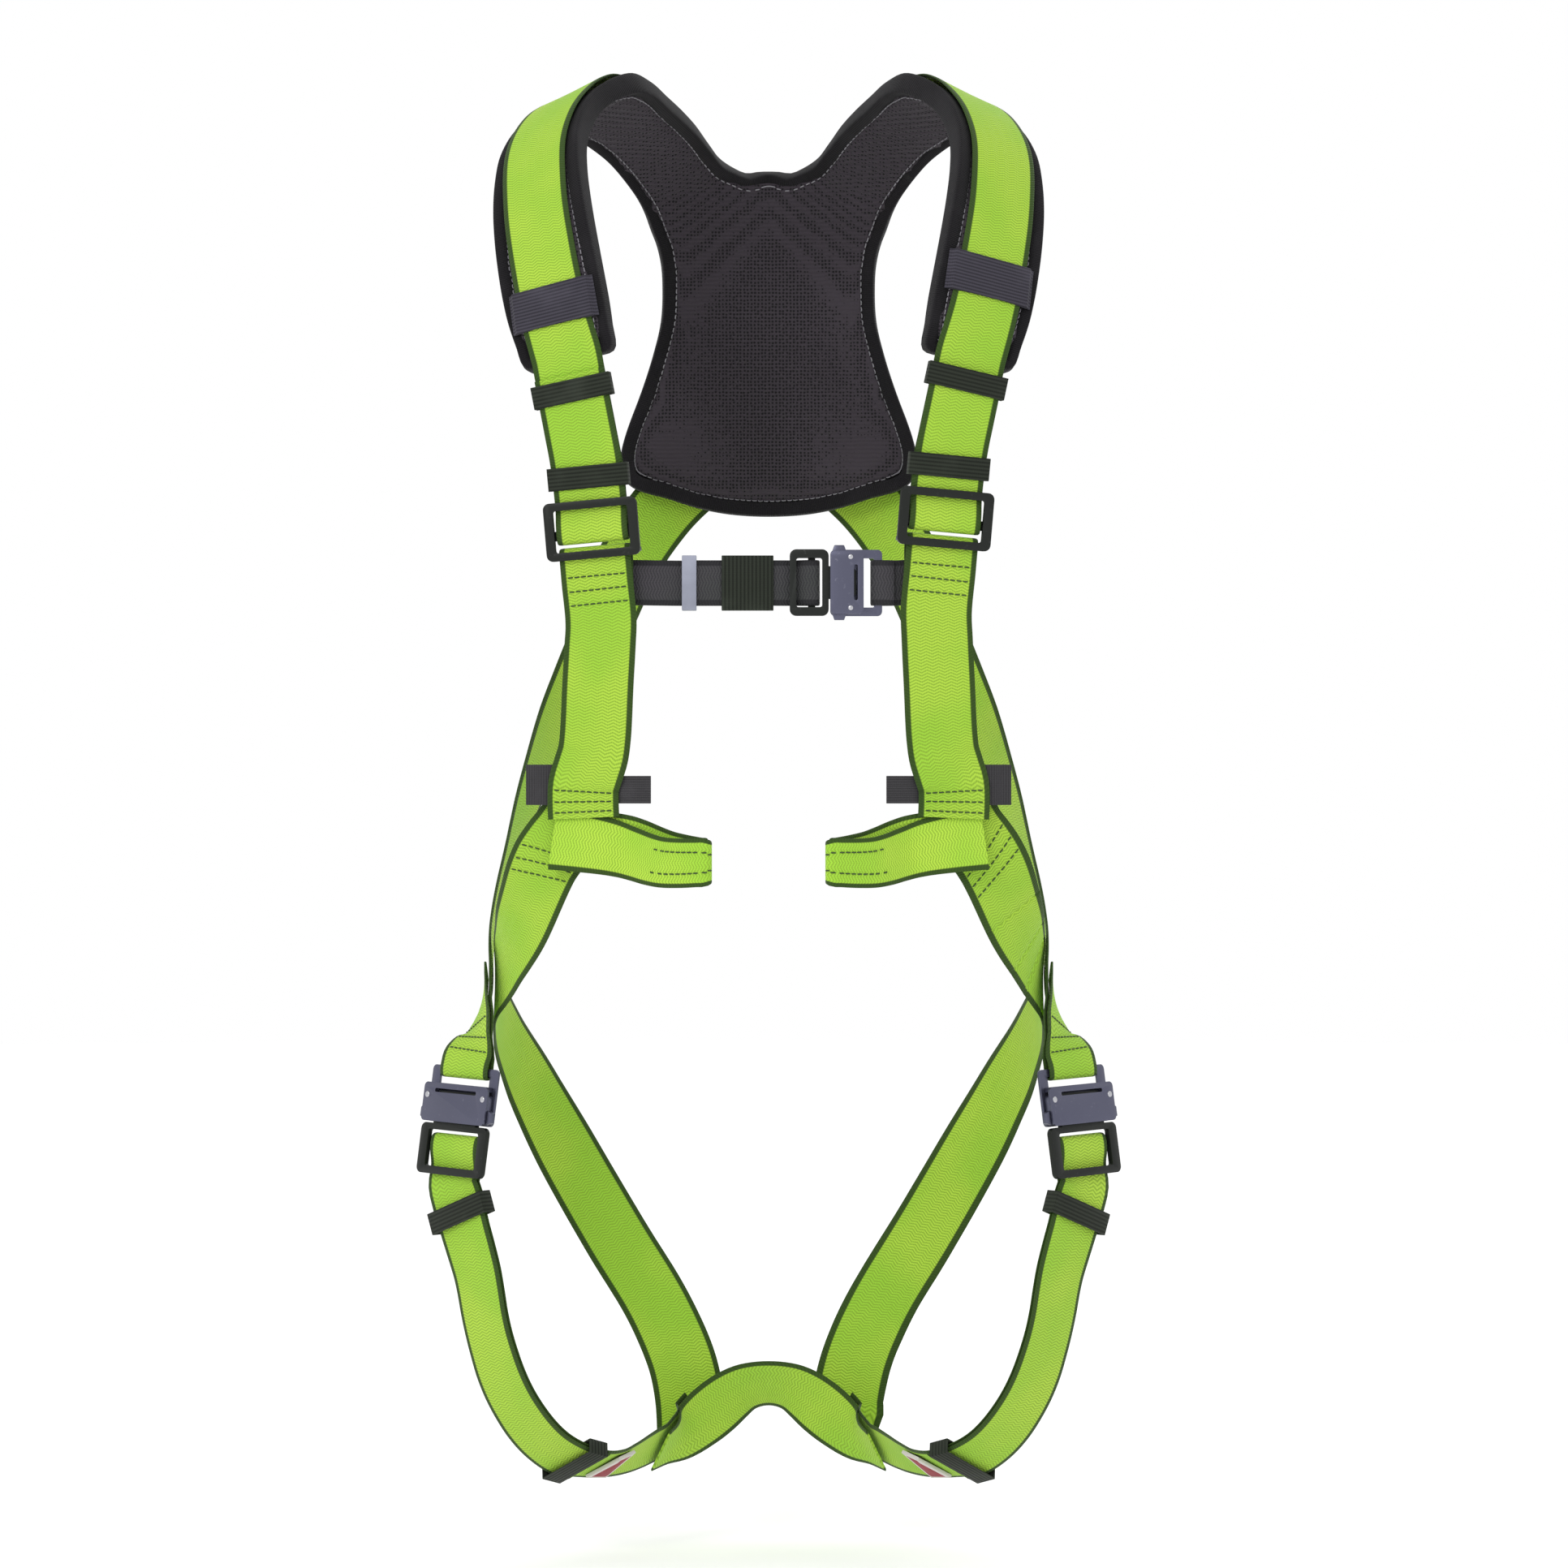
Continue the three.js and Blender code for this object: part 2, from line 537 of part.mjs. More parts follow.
function adjusterFrame() {
  const [h, w] = [ADJUSTER_HALF_H, ADJUSTER_HALF_W];
  const outer = roundedRect(THREE.Shape, -h, h, -w, w, 4);
  const opening = [-WINDOW_HALF_H, WINDOW_HALF_H, -WINDOW_HALF_W, WINDOW_HALF_W];
  outer.holes.push(roundedRect(THREE.Path, ...opening, WINDOW_CORNER));
  const bar = box([REAR_BAR_U - REAR_BAR_H / 2, -ADJUSTER_HALF_W + 1, REAR_BAR_W - REAR_BAR_T / 2],
    [REAR_BAR_U + REAR_BAR_H / 2, ADJUSTER_HALF_W - 1, REAR_BAR_W + REAR_BAR_T / 2]);
  const post = (sign) => box(
    [REAR_BAR_U - REAR_BAR_H / 2, sign < 0 ? -ADJUSTER_HALF_W + 1 : WINDOW_HALF_W, REAR_BAR_W],
    [REAR_BAR_U + REAR_BAR_H / 2, sign < 0 ? -WINDOW_HALF_W : ADJUSTER_HALF_W - 1, 0]);
  return joined(plate(outer, -FRONT_FACE, FRONT_FACE), bar, post(-1), post(1));
}

function slideBar(halfWidth, halfHeight, thickness, middle) {
  return plate(roundedRect(THREE.Shape, -halfHeight, halfHeight, -halfWidth, halfWidth, 1.5),
    middle - thickness / 2, middle + thickness / 2);
}

// ---- quick-release buckles ----
// u runs from the mouth (0) into the housing; the tongue is on the negative side; w points outwards.
const BASE_T = 1.8;
const CAVITY = 4.5; // base plate to cover plate
const COVER_T = 1.8;
const TONGUE_T = 3.7;
const TONGUE_ROOT = 5; // the tongue frame's opening to the buckle's mouth
const FLOAT = 0.4; // play of the tongue and levers over the base plate
const END_BAR = 5;
const HOUSING_SLOT = 7;
const LEVER_WIDTH = 6.5;
const EAR = 2.6; // how far a lever's ear stands out of the housing
const LEVER_DEG = 8;
// Middle of the sliding bar behind the tongue's frame.
const BUCKLE_SLIDE_W = FLOAT - PIN_CLEARANCE - SLIDE_T / 2;

function buckleSizes(web, margin, housing, tongue, bar, slideU, slideH) {
  const half = web / 2 + margin;
  const cover = housing - END_BAR - HOUSING_SLOT + 0.5;
  const [pivotU, pivotV] = [cover - 8, half - 1.5 - LEVER_WIDTH / 2];
  return { web, half, housing, tongue, cover, pivotU, pivotV, bar, slideU, slideH };
}
const CHEST_BUCKLE = buckleSizes(STERNAL_WEB, 6.5, 32, 25, 4, -11.5, 4.5);
const LEG_BAR_GAP = 7.5; // middle of the leg buckle's sliding bar to the tongue frame's root
const LEG_BUCKLE = buckleSizes(WEB, 8.5, 36, 33, ADJUSTER_BAR, -TONGUE_ROOT - LEG_BAR_GAP, SLIDE_H);

function buckleBase(b) {
  const shape = roundedRect(THREE.Shape, 0, b.housing, -b.half, b.half, 3);
  shape.holes.push(roundedRect(THREE.Path, b.housing - END_BAR - HOUSING_SLOT, b.housing - END_BAR,
    -b.web / 2 - SLOT_SIDE, b.web / 2 + SLOT_SIDE, 1));
  const pin = (sign) => new THREE.CylinderGeometry(1.5, 1.5, BASE_T + CAVITY - PIN_CLEARANCE, 12)
    .rotateX(Math.PI / 2).translate(b.pivotU, sign * b.pivotV, (CAVITY - PIN_CLEARANCE - BASE_T) / 2);
  return joined(plate(shape, -BASE_T, 0), pin(-1), pin(1));
}

function buckleCover(b) {
  const half = b.half - 1;
  const lid = roundedRect(THREE.Shape, 0, b.cover, -half, half, 3);
  lid.holes.push(roundedRect(THREE.Path, b.cover - 6, b.cover - 3.6, -b.web / 2 + 3, b.web / 2 - 3, 1));
  const wall = box([b.cover - 3, -half + 2, PIN_CLEARANCE], [b.cover, half - 2, CAVITY + COVER_T / 2]);
  return joined(plate(lid, CAVITY, CAVITY + COVER_T), wall);
}

function buckleLever(b, sign) {
  const [inner, outer] = [b.half - 1.5 - LEVER_WIDTH, b.half - 1.5];
  const shape = new THREE.Shape()
    .moveTo(1, inner)
    .lineTo(b.pivotU, inner)
    .absarc(b.pivotU, b.pivotV, LEVER_WIDTH / 2, -Math.PI / 2, Math.PI / 2, false)
    .lineTo(10, outer)
    .lineTo(8.5, outer + EAR + 1.5)
    .lineTo(2.5, outer + EAR + 1.5)
    .lineTo(1, outer);
  shape.holes.push(new THREE.Path().absarc(b.pivotU, b.pivotV, 1.5 + PIN_CLEARANCE, 0, 2 * Math.PI, false));
  const made = plate(shape, FLOAT, FLOAT + TONGUE_T, 6);
  return sign > 0 ? made : made.rotateX(Math.PI).translate(0, 0, 2 * FLOAT + TONGUE_T);
}

// The tongue: a blade that enters the housing between the levers, and a frame for the webbing.
function buckleTongue(b) {
  const leverTravel = (b.pivotU - 1) * Math.sin((LEVER_DEG * Math.PI) / 180);
  const blade = b.half - 1.5 - LEVER_WIDTH - leverTravel - 0.8;
  const shape = roundedRect(THREE.Shape, -b.tongue, -1, -b.half, b.half, 4);
  const opening = [-b.tongue + b.bar, -TONGUE_ROOT, -b.web / 2 - SLOT_SIDE, b.web / 2 + SLOT_SIDE];
  shape.holes.push(roundedRect(THREE.Path, ...opening, WINDOW_CORNER));
  const tip = b.cover - 4.5;
  const bladeShape = new THREE.Shape()
    .moveTo(-3, -blade)
    .lineTo(tip - 3, -blade)
    .lineTo(tip, -blade + 3)
    .lineTo(tip, blade - 3)
    .lineTo(tip - 3, blade)
    .lineTo(-3, blade);
  return joined(plate(shape, FLOAT, FLOAT + TONGUE_T), plate(bladeShape, FLOAT, FLOAT + TONGUE_T));
}

function buckle(prefix, sizes, frame) {
  add(prefix + "_base", buckleBase(sizes), "buckle_steel", frame);
  add(prefix + "_cover", buckleCover(sizes), "buckle_steel", frame);
  add(prefix + "_tongue", buckleTongue(sizes), "black_steel", frame);
  add(prefix + "_bar", slideBar(sizes.web / 2 + SLOT_SIDE + 4, sizes.slideH / 2, SLIDE_T, BUCKLE_SLIDE_W)
    .translate(sizes.slideU, 0, 0), "black_steel", frame);
  add(prefix + "_lever_a", buckleLever(sizes, 1), "buckle_steel", frame);
  add(prefix + "_lever_b", buckleLever(sizes, -1), "buckle_steel", frame);
}

// Webbing sewn round the housing's end bar: u, w pairs from the sewn end in front to the back layer.
const barTurnU = (b) => b.housing - END_BAR + 0.6;
const HOUSING_FRONT = GAP + WEB_T / 2;
const HOUSING_BACK = -BASE_T - GAP - WEB_T / 2;

// ---- placed frames ----
const adjusterFrameAt = (lift) => localFrame(V(-CHEST_HALF, -FRONT_Y - 3, ADJUSTER_Z + lift),
  V(-0.085, -0.01, 1), V(-0.2, -1, 0.02));
const legFrame = localFrame(V(-BUCKLE_HALF - 1, -40, BUCKLE_Z + 2), V(0.12, 0.08, 1), V(-0.72, -0.7, 0));
const chestFrame = localFrame(V(38, -FRONT_Y, STERNAL_Z), V(1, 0, 0), V(0, -1, 0.03));
const jointFrame = localFrame(V(-CHEST_HALF - 5, -FRONT_Y - 2, LOOP_Z + 12), V(0, 0, 1), V(-0.2, -1, 0));

// ---- main straps: from a shoulder tail over the yoke, across the dorsal plate to the opposite leg ----
const SLIDE_OVER_REAR = 12; // sliding bar's middle above the rear bar's middle
const SLIDE_U = REAR_BAR_U + SLIDE_OVER_REAR;
const TAIL_START = 33; // where the tail leaves the adjuster, along the strap from its sliding bar
const TAIL_SHOULDER = 95; // where the shoulder tail ends, along the strap from its sliding bar
const UNDER = GAP + WEB_T / 2; // a face to the middle of webbing that lies on it
const SLIDE_BACK = SLIDE_W - SLIDE_T / 2 - UNDER;
const IN_WINDOW = -FRONT_FACE + UNDER + 0.1; // middle of the layer in front of the sliding bar

// A station on the pad's outer face, raised by a distance.
const onPad = (row, share, height) => {
  const n = padNormal(row, share);
  return { p: padPoint(row, share).addScaledVector(n, height), n };
};

// The main strap's pass over the ring's axle, as [height above the axle, level above the pad].
function dorsalPass(layer) {
  const low = PAD_REST + layer * LAYER;
  const high = AXLE_LEVEL + RING_WIRE + UNDER + layer * LAYER;
  const half = [[PLATE_HALF_H + 3, low], [PLATE_HALF_H - PLATE_BAR - 2, low], [RING_WIRE + 2, high]];
  return [...half, [0, high], ...half.map(([dz, level]) => [-dz, level]).reverse()];
}

// The strap from the adjuster up: what lies behind the sliding bar, then over the pad.
function shoulderRise(g) {
  const rise = localRoute(g, [[SLIDE_U + SLIDE_H / 2 + 3, SLIDE_BACK], [WINDOW_HALF_H + 1, SLIDE_BACK - 0.2],
    [WINDOW_HALF_H + 10, BEHIND - LAYER - 0.8], [WINDOW_HALF_H + 22, BEHIND - LAYER - 0.4]], 1);
  const rows = [0, 1, 2, 3, 4, 5, 6, 7, 8];
  const lobe = rows.map((row) => onPad(row, 0.5, row === 0 ? PAD_REST : PAD_REST + 0.6));
  const over = smooth(lobe);
  const bridge = smooth([rise[rise.length - 1], over[0]]).slice(1, -1);
  return [...rise, ...bridge, ...over];
}

function mainStrap(g, layer) {
  const raised = layer * LAYER;
  const rise = shoulderRise(g);
  const tail = turnedBack(lifted(between(rise, TAIL_START, TAIL_SHOULDER), LAYER));
  const roundBar = turn(SLIDE_U - SLIDE_H / 2 + 0.6, SLIDE_BACK, IN_WINDOW, -1, false);
  const tailDown = localRoute(g, [[WINDOW_HALF_H + 8, BEHIND], [WINDOW_HALF_H - 1.2, BEHIND],
    [SLIDE_U + SLIDE_H / 2 + 3, IN_WINDOW], ...roundBar], 1);
  const pass = dorsalPass(layer).map(([dz, level]) => ({
    p: V(0, BACK_Y + level, RING_Z + dz),
    n: V(0, 1, 0),
  }));
  const rose = pass.map((r, i) => ({ p: r.p, n: i ? framedNormal(pass, i) : r.n }));
  const onBack = [onPad(9, 0.54, PAD_REST + 0.8 + raised), onPad(10, 0.56, PAD_REST + 1.8 + 1.6 * raised),
    onPad(11, 0.6, PAD_REST + 1.8 + 2.4 * raised)];
  const back = smooth([rise[rise.length - 1], ...onBack, rose[0]]).slice(1, -1);
  const drop = smooth([
    rose[rose.length - 1],
    at(16, BACK_Y + PAD_REST + raised, RING_Z - 62, 0, 1, 0),
    at(42, BACK_Y + PAD_REST + raised / 2, RING_Z - 87, 0, 1, 0),
    at(68, BACK_Y + PAD_REST, YOKE_BOTTOM_Z + 5, 0.1, 1, 0),
    at(90, BACK_Y - 10, YOKE_BOTTOM_Z - 28, 0.4, 0.9, 0),
    at(CHEST_HALF + 2, BACK_Y - 32, -348, 0.65, 0.75, 0),
    at(HIP_HALF - 38, BACK_Y - 58, -400, 0.85, 0.5, 0),
    at(HIP_HALF - 20, 28, -450, 0.96, 0.25, 0),
    at(HIP_HALF - 6, 8, HIP_Z + 78, 1, 0.08, 0),
    at(HIP_HALF + 2.8, -10, HIP_Z + 36, 1, 0, 0),
    at(HIP_HALF + 3.2, -20, HIP_Z + 4, 1, -0.04, 0),
    at(BUCKLE_HALF - 12, -32, BUCKLE_Z + 60, 0.9, -0.4, 0),
  ]);
  const b = LEG_BUCKLE;
  const end = localRoute(mirroredFrame(legFrame, 1), [
    [b.housing + 8, HOUSING_BACK], [b.housing + 2, HOUSING_BACK],
    ...turn(barTurnU(b), HOUSING_BACK, HOUSING_FRONT, -1), [b.housing + 3, HOUSING_FRONT],
  ], -1);
  const last = smooth([drop[drop.length - 1], end[0]]).slice(1, -1);
  const fold = turnedBack(lifted([...drop.slice(-6), ...last, end[0], end[1]], LAYER + 1).slice(1, -1));
  return [...tail, ...tailDown, ...rise, ...back, ...rose, ...drop.slice(1), ...last, ...end, ...fold];
}

const framedNormal = (route, i) => framed(route)[i].n;

// ---- chest straps: looped on the adjuster's rear bar, sewn at the front joint ----
const CHEST_FOLD = 42; // length of the sewn-back layer under the adjuster
function chestStrap(g) {
  const back = REAR_BAR_W - REAR_BAR_T / 2 - UNDER;
  const rear = localRoute(g, [
    [REAR_BAR_U - CHEST_FOLD, BEHIND - LAYER], [REAR_BAR_U - 16, BEHIND - LAYER - 0.3],
    [REAR_BAR_U - 3, back], ...turn(REAR_BAR_U + 0.4, back, BEHIND, 1), [REAR_BAR_U - 6, BEHIND],
    [REAR_BAR_U - 16, BEHIND], [REAR_BAR_U - CHEST_FOLD - 4, BEHIND],
  ], -1);
  const out = jointFrame.w;
  const down = smooth([
    rear[rear.length - 1],
    at(-CHEST_HALF + 4, -FRONT_Y - 5, (ADJUSTER_Z + LOOP_Z) / 2 - 4, out.x, out.y, 0),
    at(-CHEST_HALF + 1, -FRONT_Y - 4, LOOP_Z + 40, out.x, out.y, 0),
    { p: inFrame(jointFrame, 8, 0, 0), n: out },
    { p: inFrame(jointFrame, -12, 0, 0), n: out },
  ]);
  return [...rear, ...down.slice(1)];
}

// ---- front loops: a band folded on itself, its ends under the chest strap's lower end ----
const LOOP_REACH = 84; // chest strap's middle to the loop's tip
const LOOP_OPEN = 15; // gap between the loop's two sides
const LOOP_ROOT_W = 40;
const LOOP_TIP_W = 26;
const LOOP_TIP_R = 3.4; // radius of the fold at the tip
const LOOP_LEAN = 20; // how far the tip stands in front of the root
function frontLoop() {
  const j = jointFrame;
  const put = (a, b, c) => inFrame(j, a, b, c);
  const front = [
    put(-24, 20, -LAYER), put(-27, 0, -LAYER), put(-30, -16, -LAYER), put(-33, -27, -LAYER + 0.6),
    put(-39, -52, 13), put(-39, -LOOP_REACH + 4, LOOP_LEAN),
  ];
  const tip = [30, 60, 90, 120, 150].map((degrees) => {
    const angle = (degrees * Math.PI) / 180;
    const [beyond, level] = [LOOP_TIP_R * Math.sin(angle), LOOP_TIP_R * (Math.cos(angle) - 1)];
    return put(-39, -LOOP_REACH + 4 - beyond, LOOP_LEAN + level);
  });
  const back = [
    put(-39, -LOOP_REACH + 4, LOOP_LEAN - 2 * LOOP_TIP_R), put(-35, -52, 13 - LOOP_OPEN),
    put(-27, -27, -2 * LAYER - 1), put(-26, -16, -2 * LAYER), put(-26, 0, -2 * LAYER),
    put(-24, 20, -2 * LAYER),
  ];
  const middle = new THREE.CatmullRomCurve3([...front, ...tip, ...back], false, "centripetal");
  const points = middle.getPoints(44);
  const route = points.map((p, i) => {
    const t = points[Math.min(i + 1, 44)].clone().sub(points[Math.max(i - 1, 0)]).normalize();
    const upward = V(-0.15 * Math.cos((Math.PI * i) / 44) ** 2, 0, -1);
    return { p, n: t.clone().cross(upward).normalize() };
  });
  return ribbon(route, (share) => LOOP_TIP_W + (LOOP_ROOT_W - LOOP_TIP_W) * Math.abs(2 * share - 1) ** 1.5);
}

// ---- hip straps: front joint, round the hip, down the back of the thigh to the seat strap ----
function hipStrap() {
  const start = [inFrame(jointFrame, 8, 2, -3 * LAYER - 2), inFrame(jointFrame, -12, 7, -3 * LAYER - 2)];
  return smooth([
    { p: start[0], n: jointFrame.w },
    { p: start[1], n: jointFrame.w },
    at(-HIP_HALF + 35, -FRONT_Y + 15, LOOP_Z - 26, -0.32, -0.93, -0.15),
    at(-HIP_HALF + 20, -75, HIP_Z + 50, -0.55, -0.83, -0.1),
    at(-HIP_HALF + 7, -45, HIP_Z + 20, -0.85, -0.5, 0),
    at(-HIP_HALF, -15, HIP_Z, -1, 0, 0),
    at(-HIP_HALF + 5, 25, HIP_Z - 28, -0.9, 0.42, -0.05),
    at(-HIP_HALF + 20, 55, HIP_Z - 63, -0.6, 0.75, -0.2),
    at(-HIP_HALF + 45, 75, HIP_Z - 112, -0.35, 0.9, -0.25),
    at(-SEAT_HALF - 47, 82, SEAT_Z + 91, -0.25, 0.92, -0.3),
    at(-SEAT_HALF - 20, 78, SEAT_Z + 47, -0.2, 0.92, -0.35),
    at(-SEAT_HALF - 4, SEAT_Y + 22, SEAT_Z + 11, -0.15, 0.95, -0.25),
    at(-SEAT_HALF + 1, SEAT_Y + 17, SEAT_Z - 14, -0.1, 0.98, -0.1),
    at(-SEAT_HALF + 2, SEAT_Y + 16, SEAT_Z - 31, -0.05, 1, 0),
  ]);
}

// ---- seat strap and thigh straps ----
const SEAT_Y = 48; // depth of the seat strap's arch behind the shoulder line
const ARCH = 34; // drop of the seat strap's ends below its middle
function seatStrap() {
  const half = [
    at(-SEAT_HALF - 17, 26, SEAT_Z - ARCH - 7, -0.12, -0.68, -0.68),
    at(-SEAT_HALF - 1, SEAT_Y - 8, SEAT_Z - ARCH + 3, -0.15, -0.72, -0.65),
    at(-SEAT_HALF + 20, SEAT_Y - 2, SEAT_Z - 14, -0.15, -0.72, -0.65),
    at(-SEAT_HALF + 36, SEAT_Y, SEAT_Z - 3, -0.05, -0.7, -0.68),
  ];
  const other = half.map((r) => ({ p: flipX(r.p), n: flipX(r.n) })).reverse();
  return smooth([...half, at(0, SEAT_Y, SEAT_Z, 0, -0.7, -0.7), ...other]);
}

const TAIL_THIGH = 247; // where the thigh tail ends, along the strap from its sliding bar
const LEG_BACK = BUCKLE_SLIDE_W - SLIDE_T / 2 - UNDER;
const LEG_FRONT = FLOAT + UNDER;
const LEG_BEHIND = FLOAT - UNDER; // middle of a layer that runs behind the tongue's end bar

// The load-bearing layer, from the seat strap up to the buckle.
function thighRise() {
  const low = lifted(seatStrap().slice(0, 4), -2.7 * LAYER).reverse();
  const global = [
    at(-SEAT_HALF - 62, -22, SEAT_Z - 43, -0.3, -0.72, -0.62),
    at(-SEAT_HALF - 88, -37, SEAT_Z - 28, -0.5, -0.72, -0.48),
    at(-BUCKLE_HALF + 32, -47, SEAT_Z + 4, -0.66, -0.7, -0.25),
    at(-BUCKLE_HALF + 19, -51, SEAT_Z + 43, -0.74, -0.66, -0.08),
    at(-BUCKLE_HALF + 12, -51, SEAT_Z + 80, -0.74, -0.66, 0),
    at(-BUCKLE_HALF + 4.3, -47, BUCKLE_Z - 64.4, -0.73, -0.69, 0),
  ];
  const b = LEG_BUCKLE;
  const top = localRoute(legFrame, [[-b.tongue - 6, LEG_BEHIND - LAYER - 0.5], [-b.tongue + 5, LEG_BACK],
    [LEG_BUCKLE.slideU + SLIDE_H / 2 - 2, LEG_BACK]], 1);
  return [...smooth([...low, ...global, top[0]]), ...top.slice(1)];
}

function thighStrap() {
  const rise = thighRise();
  const b = LEG_BUCKLE;
  const around = localRoute(legFrame, [...turn(LEG_BUCKLE.slideU + SLIDE_H / 2 - 0.6, LEG_BACK, LEG_FRONT, 1),
    [LEG_BUCKLE.slideU - SLIDE_H / 2 - 2, LEG_FRONT], [-b.tongue + ADJUSTER_BAR + 1.4, LEG_BEHIND],
    [-b.tongue - 5, LEG_BEHIND]], 1);
  const down = turnedBack(rise);
  const tail = between(lifted(down, -LAYER), 30, TAIL_THIGH);
  return { route: [...rise, ...around, ...tail], rise, down };
}

// ---- keepers: a flat sleeve round the layers of a strap ----
const KEEPER_SIDE = 1.9; // clearance at each edge of the webbing in a keeper
function sleeve(width, low, high, length, wall = 1) {
  const [v, w0, w1] = [width / 2 + KEEPER_SIDE, low - GAP, high + GAP];
  return cut(box([-length / 2, -v - wall, w0 - wall], [length / 2, v + wall, w1 + wall]),
    box([-length, -v, w0], [length, v, w1]));
}

const KEEPER_LEN = 14;
function keeper(name, route, distance, sign, low, high, length = KEEPER_LEN) {
  const f = mirroredFrame(frameAt(route, distance), sign);
  add(name, sleeve(WEB, low, high, length), "elastic", f);
}

// ---- pad band over the main strap on each lobe ----
const BAND_LEN = 26;
const BAND_T = 1;
function padBand(row) {
  const foot = GAP + BAND_T / 2;
  const level = PAD_REST + 0.6 + WEB_T / 2 + GAP + BAND_T / 2;
  const shares = [[0.03, foot], [0.06, foot + 0.6], [0.09, level], [0.3, level], [0.5, level], [0.7, level],
    [0.91, level], [0.94, foot + 0.6], [0.97, foot]];
  return shares.map(([share, height]) => ({
    p: padPoint(row, share).addScaledVector(padNormal(row, share), height),
    n: padNormal(row, share),
  }));
}

// ---- one side ----
const KEEPER_LOW_AT = 29; // distances along the strap from the adjuster's bar
const KEEPER_HIGH_AT = 83;
const THIGH_KEEPER_HIGH_AT = 45; // distances down the thigh strap from its sliding bar
const THIGH_KEEPER_LOW_AT = 227;
const THIGH_KEEPER_ROOM = 1.6; // a thigh keeper's room in front of and behind its layers
const RED_LABEL_LEN = 16;
const TAG_T = 1;
const lengthOf = (route) => route.reduce((sum, r, i) => (i ? sum + r.p.distanceTo(route[i - 1].p) : 0), 0);

// A flat label beside the front joint: from v0 to v1 across, u0 to u1 along, behind the chest strap.
const jointTag = (u0, u1, v0, v1) => box([u0, v0, -LAYER - TAG_T / 2], [u1, v1, -LAYER + TAG_T / 2]);

function side(name, sign, lift, layer, bandRow) {
  const g = adjusterFrameAt(lift);
  const place = mirroredFrame(g, sign);
  const mirroredTag = (low, high, v0, v1) =>
    sign < 0 ? jointTag(low, high, v0, v1) : jointTag(low, high, -v1, -v0);
  add(name + "_main_strap", sided(ribbon(mainStrap(g, layer)), sign), "webbing");
  add(name + "_adjuster_frame", adjusterFrame(), "black_steel", place);
  add(name + "_adjuster_bar", slideBar(WINDOW_HALF_W + 4, SLIDE_H / 2, SLIDE_T, SLIDE_W)
    .translate(SLIDE_U, 0, 0), "black_steel", place);
  const rise = shoulderRise(g);
  const tailTop = WEB_T / 2 + LAYER;
  keeper(name + "_keeper_low", rise, KEEPER_LOW_AT, sign, -WEB_T / 2 - 0.5, tailTop + 0.9);
  keeper(name + "_keeper_high", rise, KEEPER_HIGH_AT, sign, -WEB_T / 2 - 0.2, tailTop + 0.3);
  add(name + "_pad_band", sided(ribbon(padBand(bandRow), BAND_LEN, BAND_T), sign), "elastic");
  add(name + "_chest_strap", sided(ribbon(chestStrap(g)), sign), "webbing");
  add(name + "_front_loop", sided(frontLoop(), sign), "loop_webbing");
  add(name + "_hip_strap", sided(ribbon(hipStrap()), sign), "webbing");
  const joint = mirroredFrame(jointFrame, sign);
  add(name + "_inner_tag", mirroredTag(-3, 14, -42, -14), "tag", joint);
  add(name + "_outer_tag", mirroredTag(-4, 21, 12, 37), "tag", joint);
  const thigh = thighStrap();
  add(name + "_thigh_strap", sided(ribbon(thigh.route), sign), "webbing");
  const length = lengthOf(thigh.rise);
  for (const [end, distance] of [["high", THIGH_KEEPER_HIGH_AT], ["low", THIGH_KEEPER_LOW_AT]])
    keeper(name + "_thigh_keeper_" + end, thigh.rise, length - distance, sign,
      -WEB_T / 2 - THIGH_KEEPER_ROOM, tailTop + THIGH_KEEPER_ROOM);
  const labelAt = length - TAIL_THIGH - 2;
  const labelEnds = [labelAt, labelAt - RED_LABEL_LEN].map((distance) => frameAt(thigh.rise, distance));
  const labelRoute = labelEnds.map((f) => ({ p: inFrame(f, 0, 0, LAYER + 1), n: f.w }));
  add(name + "_red_label", sided(ribbon(labelRoute, WEB - 12, 2.2), sign), "red_label");
  const legs = mirroredFrame(legFrame, sign);
  buckle(name + "_leg_buckle", LEG_BUCKLE, legs);
}

// ---- sternal strap ----
const STERNAL_TAIL = 62; // length of its tail, from the tongue
const STERNAL_BEHIND = REAR_BAR_W - REAR_BAR_T / 2 - UNDER - LAYER; // level behind the chest strap's fold
const STRAP_LEAN = 0.085; // sideways lean of the adjusters and the straps through them, per unit of height
const SEWN_LEVEL = HOUSING_BACK + LAYER + 0.3; // middle of the layer sewn back on the buckle's end
function sternalLong() {
  const g = adjusterFrameAt(0);
  const u = STERNAL_Z - ADJUSTER_Z;
  const b = CHEST_BUCKLE;
  const outer = [18, 0, -20].map((v) => ({ p: inFrame(g, u + v * STRAP_LEAN, v, STERNAL_BEHIND), n: g.w }));
  const reach = localRoute(chestFrame, [
    [-b.tongue - 72, HOUSING_BACK], [-b.tongue - 10, FLOAT - UNDER - LAYER],
    [-b.tongue + 4, LEG_BACK], [b.slideU + b.slideH / 2 - 2, LEG_BACK],
  ], 1);
  const main = [...smooth([...outer, reach[0], reach[1]]), ...reach.slice(2)];
  const around = localRoute(chestFrame, [
    ...turn(b.slideU + b.slideH / 2 - 0.6, LEG_BACK, LEG_FRONT, 1),
    [b.slideU - b.slideH / 2 - 1, LEG_FRONT], [-b.tongue + b.bar + 0.6, LEG_BEHIND],
    [-b.tongue - 6, LEG_BEHIND], [-b.tongue - 14, LEG_BEHIND], [-b.tongue - STERNAL_TAIL, LEG_BEHIND],
  ], 1);
  return [...main, ...around];
}

